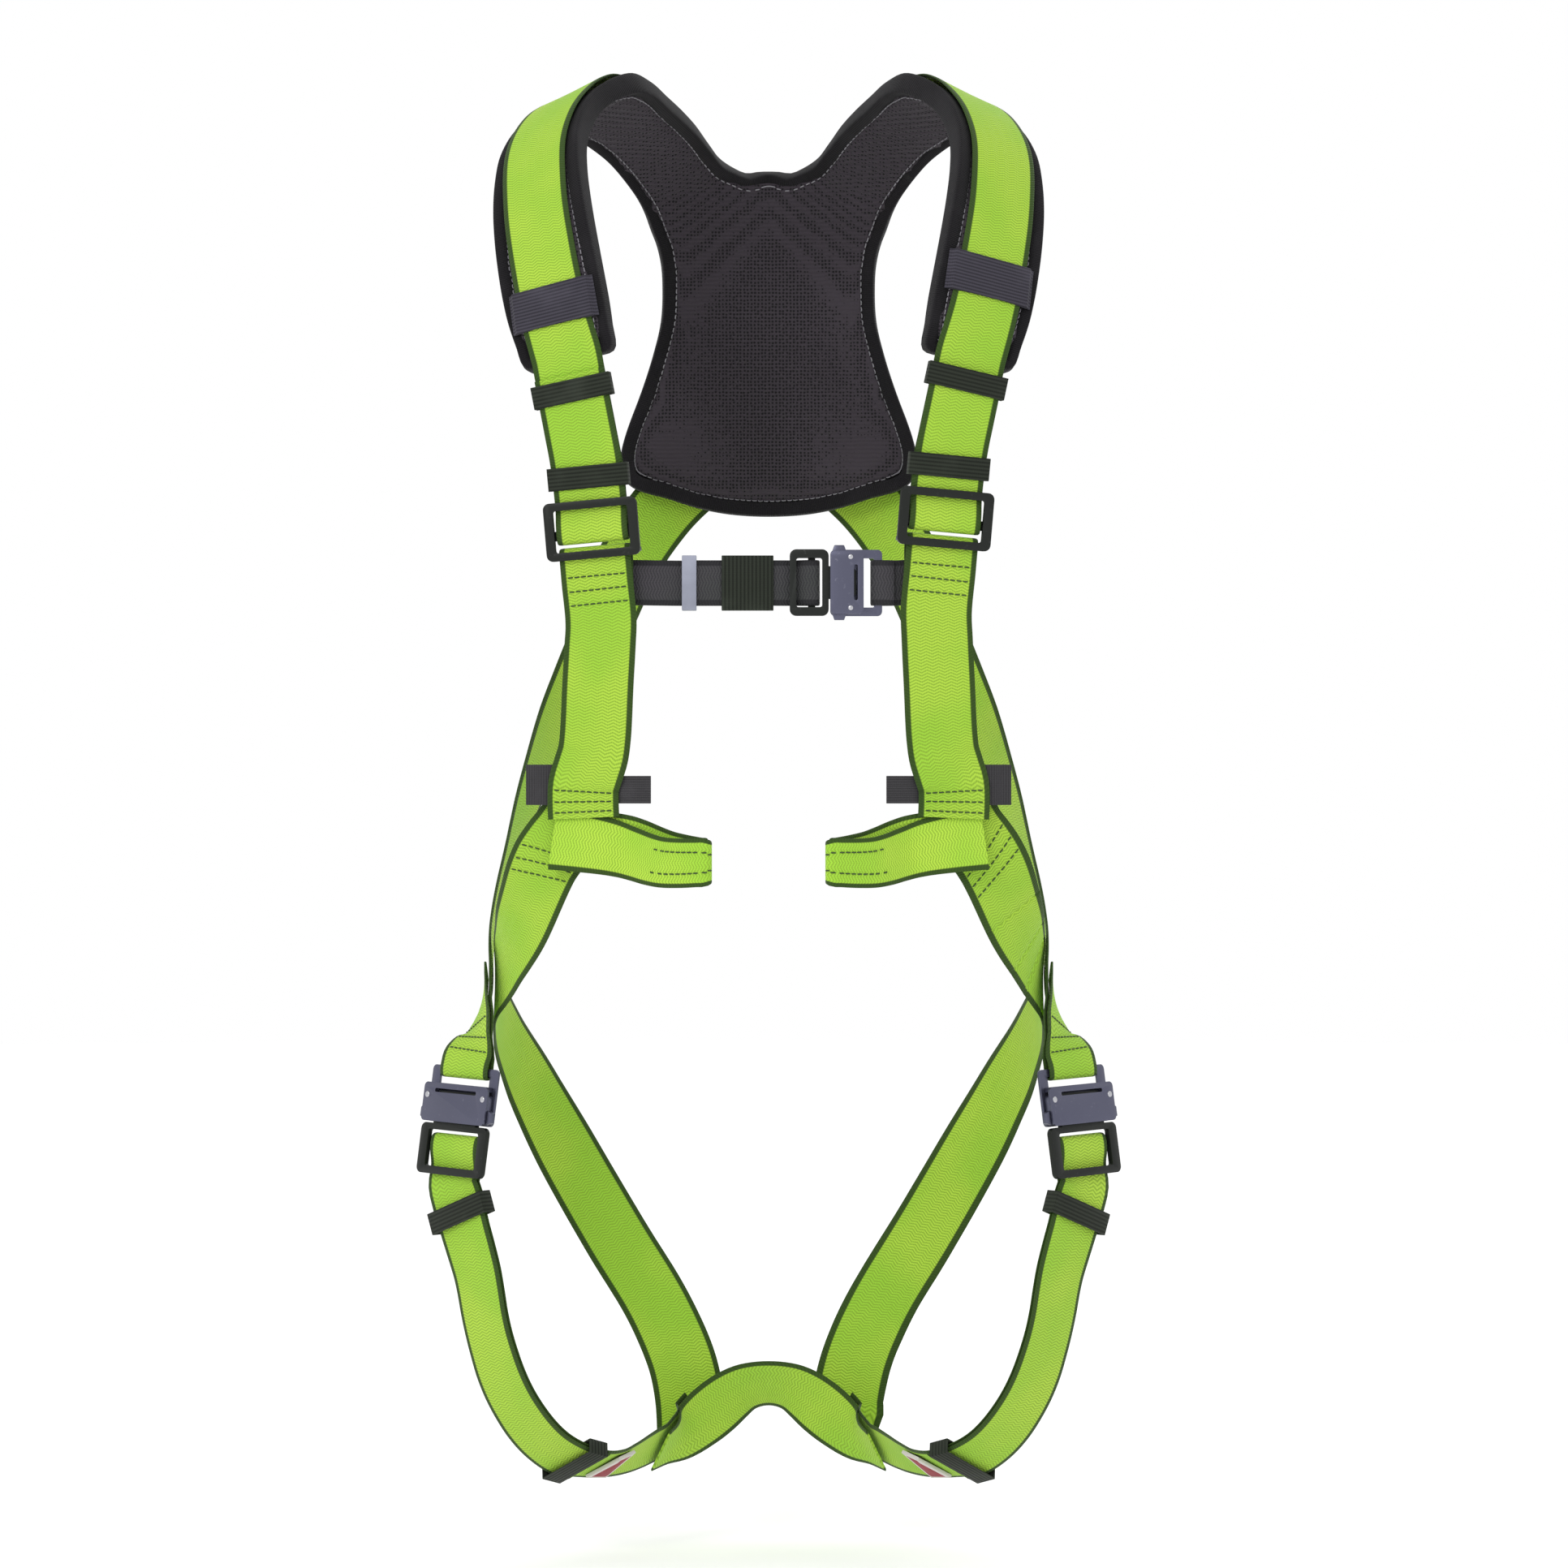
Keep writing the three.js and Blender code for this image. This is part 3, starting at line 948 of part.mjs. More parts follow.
function sternalShort() {
  const g = mirroredFrame(adjusterFrameAt(LEFT_LIFT), 1);
  const b = CHEST_BUCKLE;
  const u = STERNAL_Z - ADJUSTER_Z - LEFT_LIFT;
  const outer = [-18, 0, 19].map((v) => ({ p: inFrame(g, u - v * STRAP_LEAN, v, STERNAL_BEHIND), n: g.w }));
  const end = localRoute(chestFrame, [
    [b.housing + 7, SEWN_LEVEL], [b.housing + 2, HOUSING_FRONT],
    ...turn(barTurnU(b), HOUSING_BACK, HOUSING_FRONT, -1).reverse(), [b.housing + 6, HOUSING_BACK],
  ], 1);
  return [...end, ...smooth([end[end.length - 1], ...outer.reverse()]).slice(1)];
}

function sternalSleeve(u, length, low, high) {
  return sleeve(STERNAL_WEB, low, high, length).translate(u, 0, 0);
}

// ---- the harness ----
side("right", -1, 0, 0, 1.1);
side("left", 1, LEFT_LIFT, 1, 1.6);
add("seat_strap", ribbon(seatStrap()), "webbing");
buckle("chest_buckle", CHEST_BUCKLE, chestFrame);
add("sternal_strap_long", ribbon(sternalLong(), STERNAL_WEB), "sternal_webbing");
add("sternal_strap_short", ribbon(sternalShort(), STERNAL_WEB), "sternal_webbing");
const sternalLow = HOUSING_BACK - WEB_T / 2 - 0.3;
const sternalTop = LEG_BEHIND + WEB_T / 2 + 0.1;
const sternalKeeper = sternalSleeve(-CHEST_BUCKLE.tongue - 26, 32, sternalLow, sternalTop);
add("sternal_keeper", sternalKeeper, "elastic", chestFrame);
const collar = sternalSleeve(-CHEST_BUCKLE.tongue - 62, 9, sternalLow - 0.8, sternalTop + 0.6);
add("sternal_sleeve", collar, "tag", chestFrame);

export default harness;
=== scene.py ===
import json
import math

import bmesh
import bpy
import numpy as np
from bpy.props import FloatProperty, FloatVectorProperty, PointerProperty
from mathutils import Matrix, Vector
from mathutils.bvhtree import BVHTree

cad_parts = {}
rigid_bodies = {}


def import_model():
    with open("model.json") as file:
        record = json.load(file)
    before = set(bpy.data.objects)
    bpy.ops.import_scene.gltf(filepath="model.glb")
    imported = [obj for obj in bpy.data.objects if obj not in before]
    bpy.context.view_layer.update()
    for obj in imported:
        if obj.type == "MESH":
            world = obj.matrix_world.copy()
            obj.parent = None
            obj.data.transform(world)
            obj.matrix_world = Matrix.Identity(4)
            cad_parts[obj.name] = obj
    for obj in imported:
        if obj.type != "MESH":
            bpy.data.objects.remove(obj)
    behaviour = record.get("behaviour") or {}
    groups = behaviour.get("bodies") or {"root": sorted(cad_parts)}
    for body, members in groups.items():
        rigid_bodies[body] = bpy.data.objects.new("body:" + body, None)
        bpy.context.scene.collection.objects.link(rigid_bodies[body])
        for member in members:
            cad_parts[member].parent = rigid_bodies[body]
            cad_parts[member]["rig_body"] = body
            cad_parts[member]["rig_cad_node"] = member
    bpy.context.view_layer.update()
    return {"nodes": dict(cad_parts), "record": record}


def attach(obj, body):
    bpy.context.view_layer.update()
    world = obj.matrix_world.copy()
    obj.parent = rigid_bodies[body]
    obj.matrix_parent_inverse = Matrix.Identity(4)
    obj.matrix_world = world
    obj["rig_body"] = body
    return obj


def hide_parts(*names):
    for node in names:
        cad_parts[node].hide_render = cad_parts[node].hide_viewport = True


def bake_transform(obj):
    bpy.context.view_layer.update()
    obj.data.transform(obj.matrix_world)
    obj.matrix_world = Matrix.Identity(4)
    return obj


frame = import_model()

bl_info = {
    "name": "Full-body harness",
    "version": (1, 0, 0),
    "blender": (4, 5, 0),
    "location": "View3D > Sidebar > Harness",
    "description": "Builds a full-body harness of webbing, pad and buckles round its packed frame",
    "category": "Object",
}

NODES = frame["nodes"]
SIDES = ("right", "left")
MM = 0.001
TURN = 6.2832
WELD = 2e-6  # corners closer than this are one corner

# ---- the stage ----
FLOOR_Z = -0.935
FLOOR_RADIUS, FLOOR_SIDES = 7.0, 64
CAMERA_AWAY = 3.5  # from the harness's middle plane to the camera
CAMERA_Z = -0.445
VIEW_WIDTH = 0.9988  # width seen at the middle plane
SENSOR_MM = 36

# ---- webbing ----
WEB_HALF = 0.0225  # half the load-bearing webbing's width
LOOP_HALF = 0.020
LOOP_STEP = 0.002  # between the rings of a front loop
STERNAL_HALF = 0.014
LEFT_ADJUSTER_LIFT = 0.0065  # the left adjuster hangs this much higher
THREAD_GREY = (0.16, 0.155, 0.17)

# ---- pad, binding and rivets ----
PAD_PRESSURE, CLOTH_FRAMES = 4.0, 15
PAD_GROW = 0.0016  # puts back what smoothing takes off the pad
BINDING_THICK, BINDING_HEIGHT = 0.0012, 0.0138
TAPE_RING_GAP = 0.006  # binding rings closer than this are passed over
TAPE_STEP = 0.004
STITCH_INSET = 0.0082  # from the tape's middle to the stitched line
# A U of tape, as shares of its half-height and mm outwards: over the front lip, round the edge and
# back under the other lip.
TAPE_SHAPE = [(-1, 0.2), (-1.02, 1.2), (-0.86, 1.95), (-0.5, 2.3), (0, 2.4), (0.5, 2.3),
              (0.86, 1.95), (1.02, 1.2), (1, 0.2), (0.9, -6.4), (0.8, -6.5), (0.72, 0.4),
              (-0.72, 0.4), (-0.8, -6.5), (-0.9, -6.4)]
RIVET_DOME = 0.4  # a rivet head's height as a share of its radius


# ---- shader maths ----
class Socket:
    """A node socket or a number that adds Math nodes when it is used in an expression."""

    def __init__(self, tree, value):
        self.tree, self.value = tree, value

    def maths(self, operation, *others, clamp=False):
        node = self.tree.nodes.new("ShaderNodeMath")
        node.operation = operation
        node.use_clamp = clamp
        for socket, value in zip(node.inputs, (self, *others)):
            self.tree.feed(socket, value)
        return Socket(self.tree, node.outputs[0])

    def __add__(self, o):
        return self.maths("ADD", o)

    __radd__ = __add__

    def __sub__(self, o):
        return self.maths("SUBTRACT", o)

    def __rsub__(self, o):
        return Socket(self.tree, o).maths("SUBTRACT", self)

    def __mul__(self, o):
        return self.maths("MULTIPLY", o)

    __rmul__ = __mul__

    def __truediv__(self, o):
        return self.maths("DIVIDE", o)

    def __abs__(self):
        return self.maths("ABSOLUTE")

    def sine(self):
        return self.maths("SINE")

    def fraction(self):
        return self.maths("FRACT")

    def step(self, low, high):
        """0 below low, 1 above high, smooth between them."""
        share = (self - low).maths("DIVIDE", high - low, clamp=True)
        return share * share * (3 - 2 * share)


class Shade:
    """A material being written: its nodes come from make(), and its Principled shader is bsdf."""

    def __init__(self, name, **constants):
        self.material = bpy.data.materials.new(name)
        self.material.use_nodes = True
        self.nodes = self.material.node_tree.nodes
        self.links = self.material.node_tree.links
        self.bsdf = self.nodes["Principled BSDF"]
        for key, value in constants.items():
            self.bsdf.inputs[key.replace("_", " ")].default_value = value

    def feed(self, socket, value):
        value = value.value if isinstance(value, Socket) else value
        if isinstance(value, bpy.types.NodeSocket):
            self.links.new(value, socket)
        else:
            socket.default_value = value

    def make(self, kind, settings=None, output=0, **inputs):
        node = self.nodes.new(kind)
        for key, value in (settings or {}).items():
            setattr(node, key, value)
        for key, value in inputs.items():
            self.feed(node.inputs[key.replace("_", " ")], value)
        return Socket(self, node.outputs[output])

    def mix(self, factor, a, b):
        node = self.nodes.new("ShaderNodeMix")
        node.data_type = "RGBA"
        self.feed(node.inputs[0], factor)
        for index, value in ((6, a), (7, b)):
            plain = isinstance(value, tuple) and len(value) == 3
            self.feed(node.inputs[index], (*value, 1) if plain else value)
        return Socket(self, node.outputs[2])

    def noise(self, scale, detail=3.0, coords=None):
        source = coords or self.objects()
        return self.make("ShaderNodeTexNoise", Vector=source, Scale=scale, Detail=detail)

    def objects(self):
        return self.make("ShaderNodeTexCoord", output=3)

    def strap(self):
        """Across and along a strap, in metres."""
        uv = self.make("ShaderNodeUVMap", {"uv_map": "strap"})
        split = self.nodes.new("ShaderNodeSeparateXYZ")
        self.feed(split.inputs[0], uv)
        return Socket(self, split.outputs[0]), Socket(self, split.outputs[1])

    def finish(self, color, roughness, height=None, distance=0.0002, strength=1.0, metallic=None):
        self.feed(self.bsdf.inputs["Base Color"], color)
        self.feed(self.bsdf.inputs["Roughness"], roughness)
        if metallic is not None:
            self.feed(self.bsdf.inputs["Metallic"], metallic)
        if height is not None:
            bump = self.make("ShaderNodeBump", Height=height, Distance=distance, Strength=strength)
            self.feed(self.bsdf.inputs["Normal"], bump)
        return self.material


def webbing_material(name, color, edge, half, sheen=0.08):
    """Woven webbing: chevron ribs across, painted shade on the selvedges, and noise that paints the
    shade and light of wrinkles with a fine mottle.
    """
    m = Shade(name, Sheen_Weight=sheen, Sheen_Roughness=0.4, Specular_IOR_Level=0.2)
    across, along = m.strap()
    chevron = abs((across / 0.0074).fraction() - 0.5) * 1.7
    rib = ((along / 0.0019 + chevron) * TURN).sine() * 0.5 + 0.5
    yarn = ((across / 0.0011) * TURN).sine() * 0.5 + 0.5
    weave = rib * 0.7 + yarn * 0.3
    # Painted shade: the selvedge band darkens towards the edge colour, standing in for the shade on the
    # strap's edges.
    selvedge = abs(across).step(half - 0.0040, half - 0.0030)
    # Painted shade and light: low-frequency noise mixes a darker green and a lit tone for the shading
    # of wrinkles; the fine noise adds a mottle.
    wrinkle_shade_and_mottle = m.noise(16.0, 2.0).step(0.32, 0.68) * 0.75 + m.noise(900.0, 2.0) * 0.25
    bright = (min(1.0, color[0] * 1.22), min(1.0, color[1] * 1.08), color[2] * 1.15)
    green = (color[0] * 0.80, color[1] * 0.95, color[2] * 0.72)
    body = m.mix(wrinkle_shade_and_mottle, green, bright)
    woven = m.mix(weave.step(0.0, 0.8), tuple(c * 0.62 for c in color), body)
    # Painted shade: here the selvedges take the dark edge colour.
    tint = m.mix(selvedge * 0.96, woven, edge)
    return m.finish(tint, 0.62 + 0.22 * (1 - weave), weave - selvedge * 0.6, 0.00035, 0.9)


def plain_tape(name, color, pitch=0.0016, sheen=0.06):
    """Ribbed tape or elastic: ribs along the strap's length, a fine weft across them."""
    m = Shade(name, Sheen_Weight=sheen, Sheen_Roughness=0.5, Specular_IOR_Level=0.2)
    across, along = m.strap()
    rib = ((along / pitch) * TURN).sine() * 0.5 + 0.5
    weft = ((across / 0.0009) * TURN).sine() * 0.5 + 0.5
    soil = m.noise(40.0, 3.0)
    height = rib * 0.75 + weft * 0.25
    dark = tuple(c * 0.45 for c in color)
    tint = m.mix(height.step(0.05, 0.8), dark, color)
    tint = m.mix(soil.step(0.45, 0.8) * 0.35, tint, tuple(min(1, c * 1.7 + 0.01) for c in color))
    return m.finish(tint, 0.7 + 0.2 * (1 - rib), height, 0.0003, 0.9)


def mesh_cloth(name, color, hole_shade):
    """Spacer mesh: small round openings in rows, with painted shade inside them, and fibres between
    them.
    """
    m = Shade(name, Sheen_Weight=0.08, Sheen_Roughness=0.5, Specular_IOR_Level=0.15)
    cells = m.make("ShaderNodeTexVoronoi", {"feature": "F1"}, Vector=m.objects(), Scale=430.0,
                   Randomness=0.25)
    opening = 1 - cells.step(0.28, 0.42)
    split = m.nodes.new("ShaderNodeSeparateXYZ")
    m.feed(split.inputs[0], m.objects())
    height = Socket(m, split.outputs[2])
    rows = ((height / 0.0027 + m.noise(60.0, 2.0) * 0.8) * TURN).sine() * 0.5 + 0.5
    fibre = m.noise(2400.0, 2.0)
    soil = m.noise(9.0, 3.0).step(0.35, 0.7)
    light = tuple(c * 1.35 + 0.002 for c in color)
    tint = m.mix(soil, color, light)
    tint = m.mix(fibre.step(0.35, 0.75) * 0.4 + rows * 0.35, tint, tuple(c * 1.7 for c in color))
    # Painted shade: the openings take the dark hole colour, as shade inside the holes.
    tint = m.mix(opening * 0.8, tint, hole_shade)
    return m.finish(tint, 0.82 + 0.15 * opening, fibre * 0.3 + rows * 0.5 - opening, 0.0006, 0.9)


def worn_metal(name, color, worn, roughness, metallic, coat=0.0):
    """Painted or brushed metal: fine grain, handling marks and a little wear."""
    m = Shade(name, Coat_Weight=coat, Coat_Roughness=0.25, Specular_IOR_Level=0.3)
    grain = m.noise(1400.0, 3.0)
    marks = m.noise(420.0, 8.0).step(0.62, 0.80)
    smear = m.noise(22.0, 3.0)
    tint = m.mix(marks * 0.55, color, worn)
    tint = m.mix(smear.step(0.3, 0.8) * 0.25, tint, tuple(c * 0.6 for c in color))
    rough = roughness + 0.14 * smear + 0.12 * marks
    return m.finish(tint, rough, grain * 0.6 + marks * 0.5, 0.00006, 0.5, metallic)


def moulded(name, color):
    """Moulded plastic or plain thread: a fine grain and a little smear."""
    m = Shade(name, Specular_IOR_Level=0.3)
    grain = m.noise(1800.0, 2.0)
    smear = m.noise(30.0, 3.0)
    tint = m.mix(smear.step(0.3, 0.75), color, tuple(c * 1.6 + 0.004 for c in color))
    return m.finish(tint, 0.45 + 0.2 * smear, grain, 0.0001, 0.6)


def printed_label(name, field, border, half_across, half_along):
    """A woven label with a pale border and plain ruled lines."""
    m = Shade(name, Sheen_Weight=0.05, Specular_IOR_Level=0.2)
    across, along = m.strap()
    inset = abs(across).step(half_across - 0.0026, half_across - 0.0020)
    inset = inset.maths("MAXIMUM", abs(along).step(half_along - 0.0026, half_along - 0.0020))
    weave = ((along / 0.0009) * TURN).sine() * 0.5 + 0.5
    soil = m.noise(120.0, 3.0)
    ground = m.mix(soil.step(0.3, 0.8) * 0.5, field, tuple(c * 0.55 for c in field))
    return m.finish(m.mix(inset, ground, border), 0.6 + 0.2 * soil, weave, 0.00012, 0.6)


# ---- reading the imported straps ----
def welded(node):
    """A CAD node's points and faces with shared corners merged."""
    bm = bmesh.new()
    bm.from_mesh(NODES[node].data)
    bmesh.ops.remove_doubles(bm, verts=bm.verts, dist=WELD)
    bm.verts.ensure_lookup_table()
    return bm


def neighbours(bm):
    """Each corner's number and the numbers of the corners it shares an edge with."""
    return {v.index: {e.other_vert(v).index for e in v.link_edges} for v in bm.verts}


def rings_of(node):
    """The rings of four corners along a strap, from one end cap to the other."""
    bm = welded(node)
    near = neighbours(bm)
    points = np.array([v.co for v in bm.verts])
    doubles = (e for e in bm.edges if len(e.link_faces) == 2)
    pairs = [{v.index for f in e.link_faces for v in f.verts} for e in doubles]
    bm.free()
    found = None
    for start in sorted(tuple(sorted(p)) for p in pairs if len(p) == 4):
        seen, layer, rings = set(start), set(start), [set(start)]
        while True:
            layer = set().union(*(near[i] for i in layer)) - seen
            if not layer:
                break
            seen |= layer
            rings.append(layer)
            if len(layer) != 4:
                break
        if len(seen) == len(points) and all(len(r) == 4 for r in rings):
            found = rings
            break
    if found is None:
        raise RuntimeError(node + " isn't a strap of four-cornered rings")
    return [points[sorted(r)] for r in found]


def stations_of(node):
    """Centre, half-width vector and half-thickness vector at each ring of a strap."""
    centres, sides, normals = [], [], []
    for ring in rings_of(node):
        gaps = [np.linalg.norm(ring[0] - ring[k]) for k in (1, 2, 3)]
        mate = 1 + int(np.argmin(gaps))
        others = [k for k in (1, 2, 3) if k != mate]
        thick = (ring[0] - ring[mate]) / 2
        far = [ring[k] for k in others]
        side = ((ring[0] + ring[mate]) - (far[0] + far[1])) / 4
        if normals and np.dot(thick, normals[-1]) < 0:
            thick = -thick
        if sides and np.dot(side, sides[-1]) < 0:
            side = -side
        centres.append(ring.mean(0))
        sides.append(side)
        normals.append(thick)
    return np.array(centres), np.array(sides), np.array(normals)


def hermite(values, places, wanted):
    """A smooth curve through values at places, read at the wanted places."""
    steps = np.diff(places)
    slopes = np.diff(values, axis=0) / steps[:, None]
    tangents = np.empty_like(values)
    tangents[0], tangents[-1] = slopes[0], slopes[-1]
    before, after = steps[:-1, None], steps[1:, None]
    tangents[1:-1] = (slopes[:-1] * after + slopes[1:] * before) / (before + after)
    index = np.clip(np.searchsorted(places, wanted, side="right") - 1, 0, len(places) - 2)
    h = steps[index][:, None]
    t = ((wanted - places[index]) / steps[index])[:, None]
    return (
        (2 * t**3 - 3 * t**2 + 1) * values[index]
        + (t**3 - 2 * t**2 + t) * h * tangents[index]
        + (3 * t**2 - 2 * t**3) * values[index + 1]
        + (t**3 - t**2) * h * tangents[index + 1]
    )


class Strap:
    """A CAD strap read back as a smooth route."""

    def __init__(self, node, step=0.0035):
        centres, sides, normals = stations_of(node)
        places = np.concatenate([[0], np.cumsum(np.linalg.norm(np.diff(centres, axis=0), axis=1))])
        wanted = [places[0]]
        for a, b in zip(places, places[1:]):
            pieces = max(1, math.ceil((b - a) / step))
            wanted += [a + (b - a) * k / pieces for k in range(1, pieces + 1)]
        self.node = node
        self.at = np.array(wanted)
        self.centre = hermite(centres, places, self.at)
        self.half = np.linalg.norm(hermite(sides, places, self.at), axis=1)
        self.thick = float(np.linalg.norm(normals[0]))
        along = np.gradient(self.centre, axis=0)
        self.along = along / np.linalg.norm(along, axis=1)[:, None]
        side = hermite(sides, places, self.at)
        side -= (side * self.along).sum(1)[:, None] * self.along
        self.side = side / np.linalg.norm(side, axis=1)[:, None]
        out = np.cross(self.side, self.along)
        flip = np.sign((out * hermite(normals, places, self.at)).sum(1))
        self.out = out * np.where(flip == 0, 1, flip)[:, None]

    def nearest(self, point, ends=0.5):
        """The station nearest a point, within a share of the strap's length from either end."""
        share = self.at / self.at[-1]
        far = np.linalg.norm(self.centre - np.array(point), axis=1)
        return int(np.argmin(np.where(np.minimum(share, 1 - share) <= ends, far, np.inf)))

    def place(self, index, across, height=0.0):
        return self.centre[index] + self.side[index] * across + self.out[index] * height


# Across-the-strap places and the share of the thickness there: a flat web with rounded selvedges.
PROFILE = [(-1, 0.25), (-0.97, 0.78), (-0.9, 1), (-0.6, 1), (-0.2, 1),
           (0.2, 1), (0.6, 1), (0.9, 1), (0.97, 0.78), (1, 0.25)]


def mesh_object(name, points, faces, uvs=None):
    """A new object from points and faces, with its faces turned outwards."""
    mesh = bpy.data.meshes.new(name)
    mesh.from_pydata([tuple(p) for p in points], [], faces)
    if uvs is not None:
        layer = mesh.uv_layers.new(name="strap")
        for loop in mesh.loops:
            layer.data[loop.index].uv = uvs[loop.vertex_index]
    mesh.polygons.foreach_set("use_smooth", [True] * len(mesh.polygons))
    made = bpy.data.objects.new(name, mesh)
    bpy.context.scene.collection.objects.link(made)
    bm = bmesh.new()
    bm.from_mesh(mesh)
    bmesh.ops.recalc_face_normals(bm, faces=bm.faces)
    bm.to_mesh(mesh)
    bm.free()
    return made


def web(name, strap, full=None):
    """A strap's own mesh: rings of the rounded profile along its route, closed at both ends."""
    points, uvs = [], []
    loop = PROFILE + [(a, -b) for a, b in reversed(PROFILE)]
    for i, distance in enumerate(strap.at):
        for a, b in loop:
            points.append(strap.place(i, a * strap.half[i], b * strap.thick))
            uvs.append((a * (full or strap.half[i]), distance))
    count = len(loop)
    faces = []
    for i in range(len(strap.at) - 1):
        for k in range(count):
            a, b = i * count + k, i * count + (k + 1) % count
            faces.append((a, b, b + count, a + count))
    faces.append(tuple(range(count)))
    faces.append(tuple(range((len(strap.at) - 1) * count, len(strap.at) * count)))
    made = mesh_object(name, points, faces, uvs)
    select_only(made)
    bpy.ops.object.shade_smooth_by_angle(angle=math.radians(50))
    return made


def select_only(obj):
    bpy.ops.object.select_all(action="DESELECT")
    obj.select_set(True)
    bpy.context.view_layer.objects.active = obj


def dress(obj, material, slot, body="harness", stands_for=()):
    """Gives a piece its finish, the nodes it stands for and the body it rides on; its slot argument is
    not used.
    """
    obj.data.materials.clear()
    obj.data.materials.append(material)
    if stands_for:
        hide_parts(*stands_for)
    if body:
        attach(obj, body)
    return obj


# ---- stitches ----
STITCH = 0.0032  # length of one stitch
THREAD = 0.00045  # half the thread's width


def dash(points, faces, middle, along, out, length=STITCH, half=THREAD):
    """One stitch: a low ridge of thread whose ends dive into the cloth."""
    along, out = along / np.linalg.norm(along), out / np.linalg.norm(out)
    side = np.cross(along, out)
    base = len(points)
    for share, rise in ((-0.5, -0.4), (-0.34, 0.7), (0, 1.0), (0.34, 0.7), (0.5, -0.4)):
        for a, b in ((-1, -0.5), (-0.6, 0.8), (0.6, 0.8), (1, -0.5)):
            spot = middle + along * share * length
            points.append(spot + side * a * half + out * half * (b + rise - 0.2))
    for i in range(4):
        for k in range(4):
            a, b = base + i * 4 + k, base + i * 4 + (k + 1) % 4
            faces.append((a, b, b + 4, a + 4))
    faces.append(tuple(range(base, base + 4)))
    faces.append(tuple(range(base + 16, base + 20)))


def stitch_rows(points, faces, strap, near, facing, rows, slant=0.0, pitch=0.0062,
                margin=0.004, ends=0.5):
    """Rows of stitches across a strap, round the station nearest a point, on the given face."""
    middle = strap.nearest(near, ends)
    up = 1 if np.dot(strap.out[middle], facing) > 0 else -1
    reach = float(strap.half[middle]) - margin
    count = int(2 * reach / (STITCH * 1.25))
    for row in range(rows):
        for k in range(count):
            across = -reach + 2 * reach * (k + 0.5) / count
            distance = strap.at[middle] + (row - (rows - 1) / 2) * pitch + slant * across
            i = int(np.clip(np.searchsorted(strap.at, distance), 1, len(strap.at) - 1))
            share = (distance - strap.at[i - 1]) / max(strap.at[i] - strap.at[i - 1], 1e-9)
            spot = strap.place(i - 1, across, 0) * (1 - share) + strap.place(i, across, 0) * share
            out = strap.out[i] * up
            dash(points, faces, spot + out * strap.thick, strap.side[i] + strap.along[i] * slant, out)


def stitch_lines(points, faces, strap, start, end, facing, offset):
    """Two lines of stitches along a strap's edges between two points."""
    a, b = sorted((strap.nearest(start), strap.nearest(end)))
    for sign in (-1, 1):
        distance = strap.at[a]
        while distance < strap.at[b]:
            i = int(np.searchsorted(strap.at, distance))
            up = 1 if np.dot(strap.out[i], facing) > 0 else -1
            out = strap.out[i] * up
            spot = strap.place(i, sign * (strap.half[i] - offset)) + out * strap.thick
            dash(points, faces, spot, strap.along[i], out)
            distance += STITCH * 1.3


# ---- sizes and colours that a user would change ----
def color_property(name, description, default):
    """A colour that a user may change."""
    return FloatVectorProperty(name=name, description=description, subtype="COLOR", size=3,
                               default=default, min=0, max=1)


def length_property(name, description, default, low, high):
    """A length that a user may change."""
    return FloatProperty(name=name, description=description, subtype="DISTANCE", unit="LENGTH",
                         default=default, min=low, max=high)


class HarnessColors(bpy.types.PropertyGroup):
    """Colours of the webbing, pad, tapes and metal"""

    web: color_property("Webbing", "Colour of the load-bearing webbing", (0.365, 0.610, 0.053))
    # The selvedge colour is painted shade for the webbing's edges.
    web_edge_shade: color_property("Selvedge", "Colour of the webbing's edges", (0.020, 0.048, 0.008))
    sternal: color_property("Sternal webbing", "Colour of the sternal strap", (0.050, 0.049, 0.056))
    pad: color_property("Pad", "Colour of the pad's mesh", (0.029, 0.024, 0.030))
    tape: color_property("Binding", "Colour of the pad's binding", (0.006, 0.005, 0.007))
    elastic: color_property("Elastic", "Colour of the pad bands", (0.048, 0.044, 0.060))
    steel: color_property("Buckles", "Colour of the buckles", (0.105, 0.107, 0.155))
    black: color_property("Frames", "Colour of the adjusters and buckle frames", (0.012, 0.014, 0.012))


class HarnessSizes(bpy.types.PropertyGroup):
    """Sizes that shape the pad and the metal's edges"""

    pad_swell: length_property("Pad swell", "How far the pad may puff out", 0.0022, 0, 0.01)
    pad_voxel: length_property("Pad detail", "Size of the pad's remesh", 0.0045, 0.003, 0.008)
    edge: length_property("Edge", "Rounding of the metal edges", 0.0005, 0, 0.002)


def colors():
    return bpy.context.scene.harness_colors


def sizes():
    return bpy.context.scene.harness_sizes


MATERIALS = {}


def material(name, make, *args):
    """A material made once and shared by every piece that has that finish."""
    if name not in MATERIALS:
        MATERIALS[name] = make(name, *args)
    return MATERIALS[name]


def lime():
    """The load-bearing webbing's finish."""
    c = colors()
    return material("lime_webbing", webbing_material, tuple(c.web), tuple(c.web_edge_shade), WEB_HALF)


def thread():
    """The finish of the dark green stitches."""
    return material("green_thread", moulded, (0.028, 0.05, 0.016))


def grey_thread():
    """The finish of the pad's and the sternal strap's stitches."""
    return material("grey_thread", moulded, THREAD_GREY)


# ---- the operators ----
STRAPS = {}


def strap(node):
    """A strap's route, read once."""
    if node not in STRAPS:
        STRAPS[node] = Strap(node)
    return STRAPS[node]


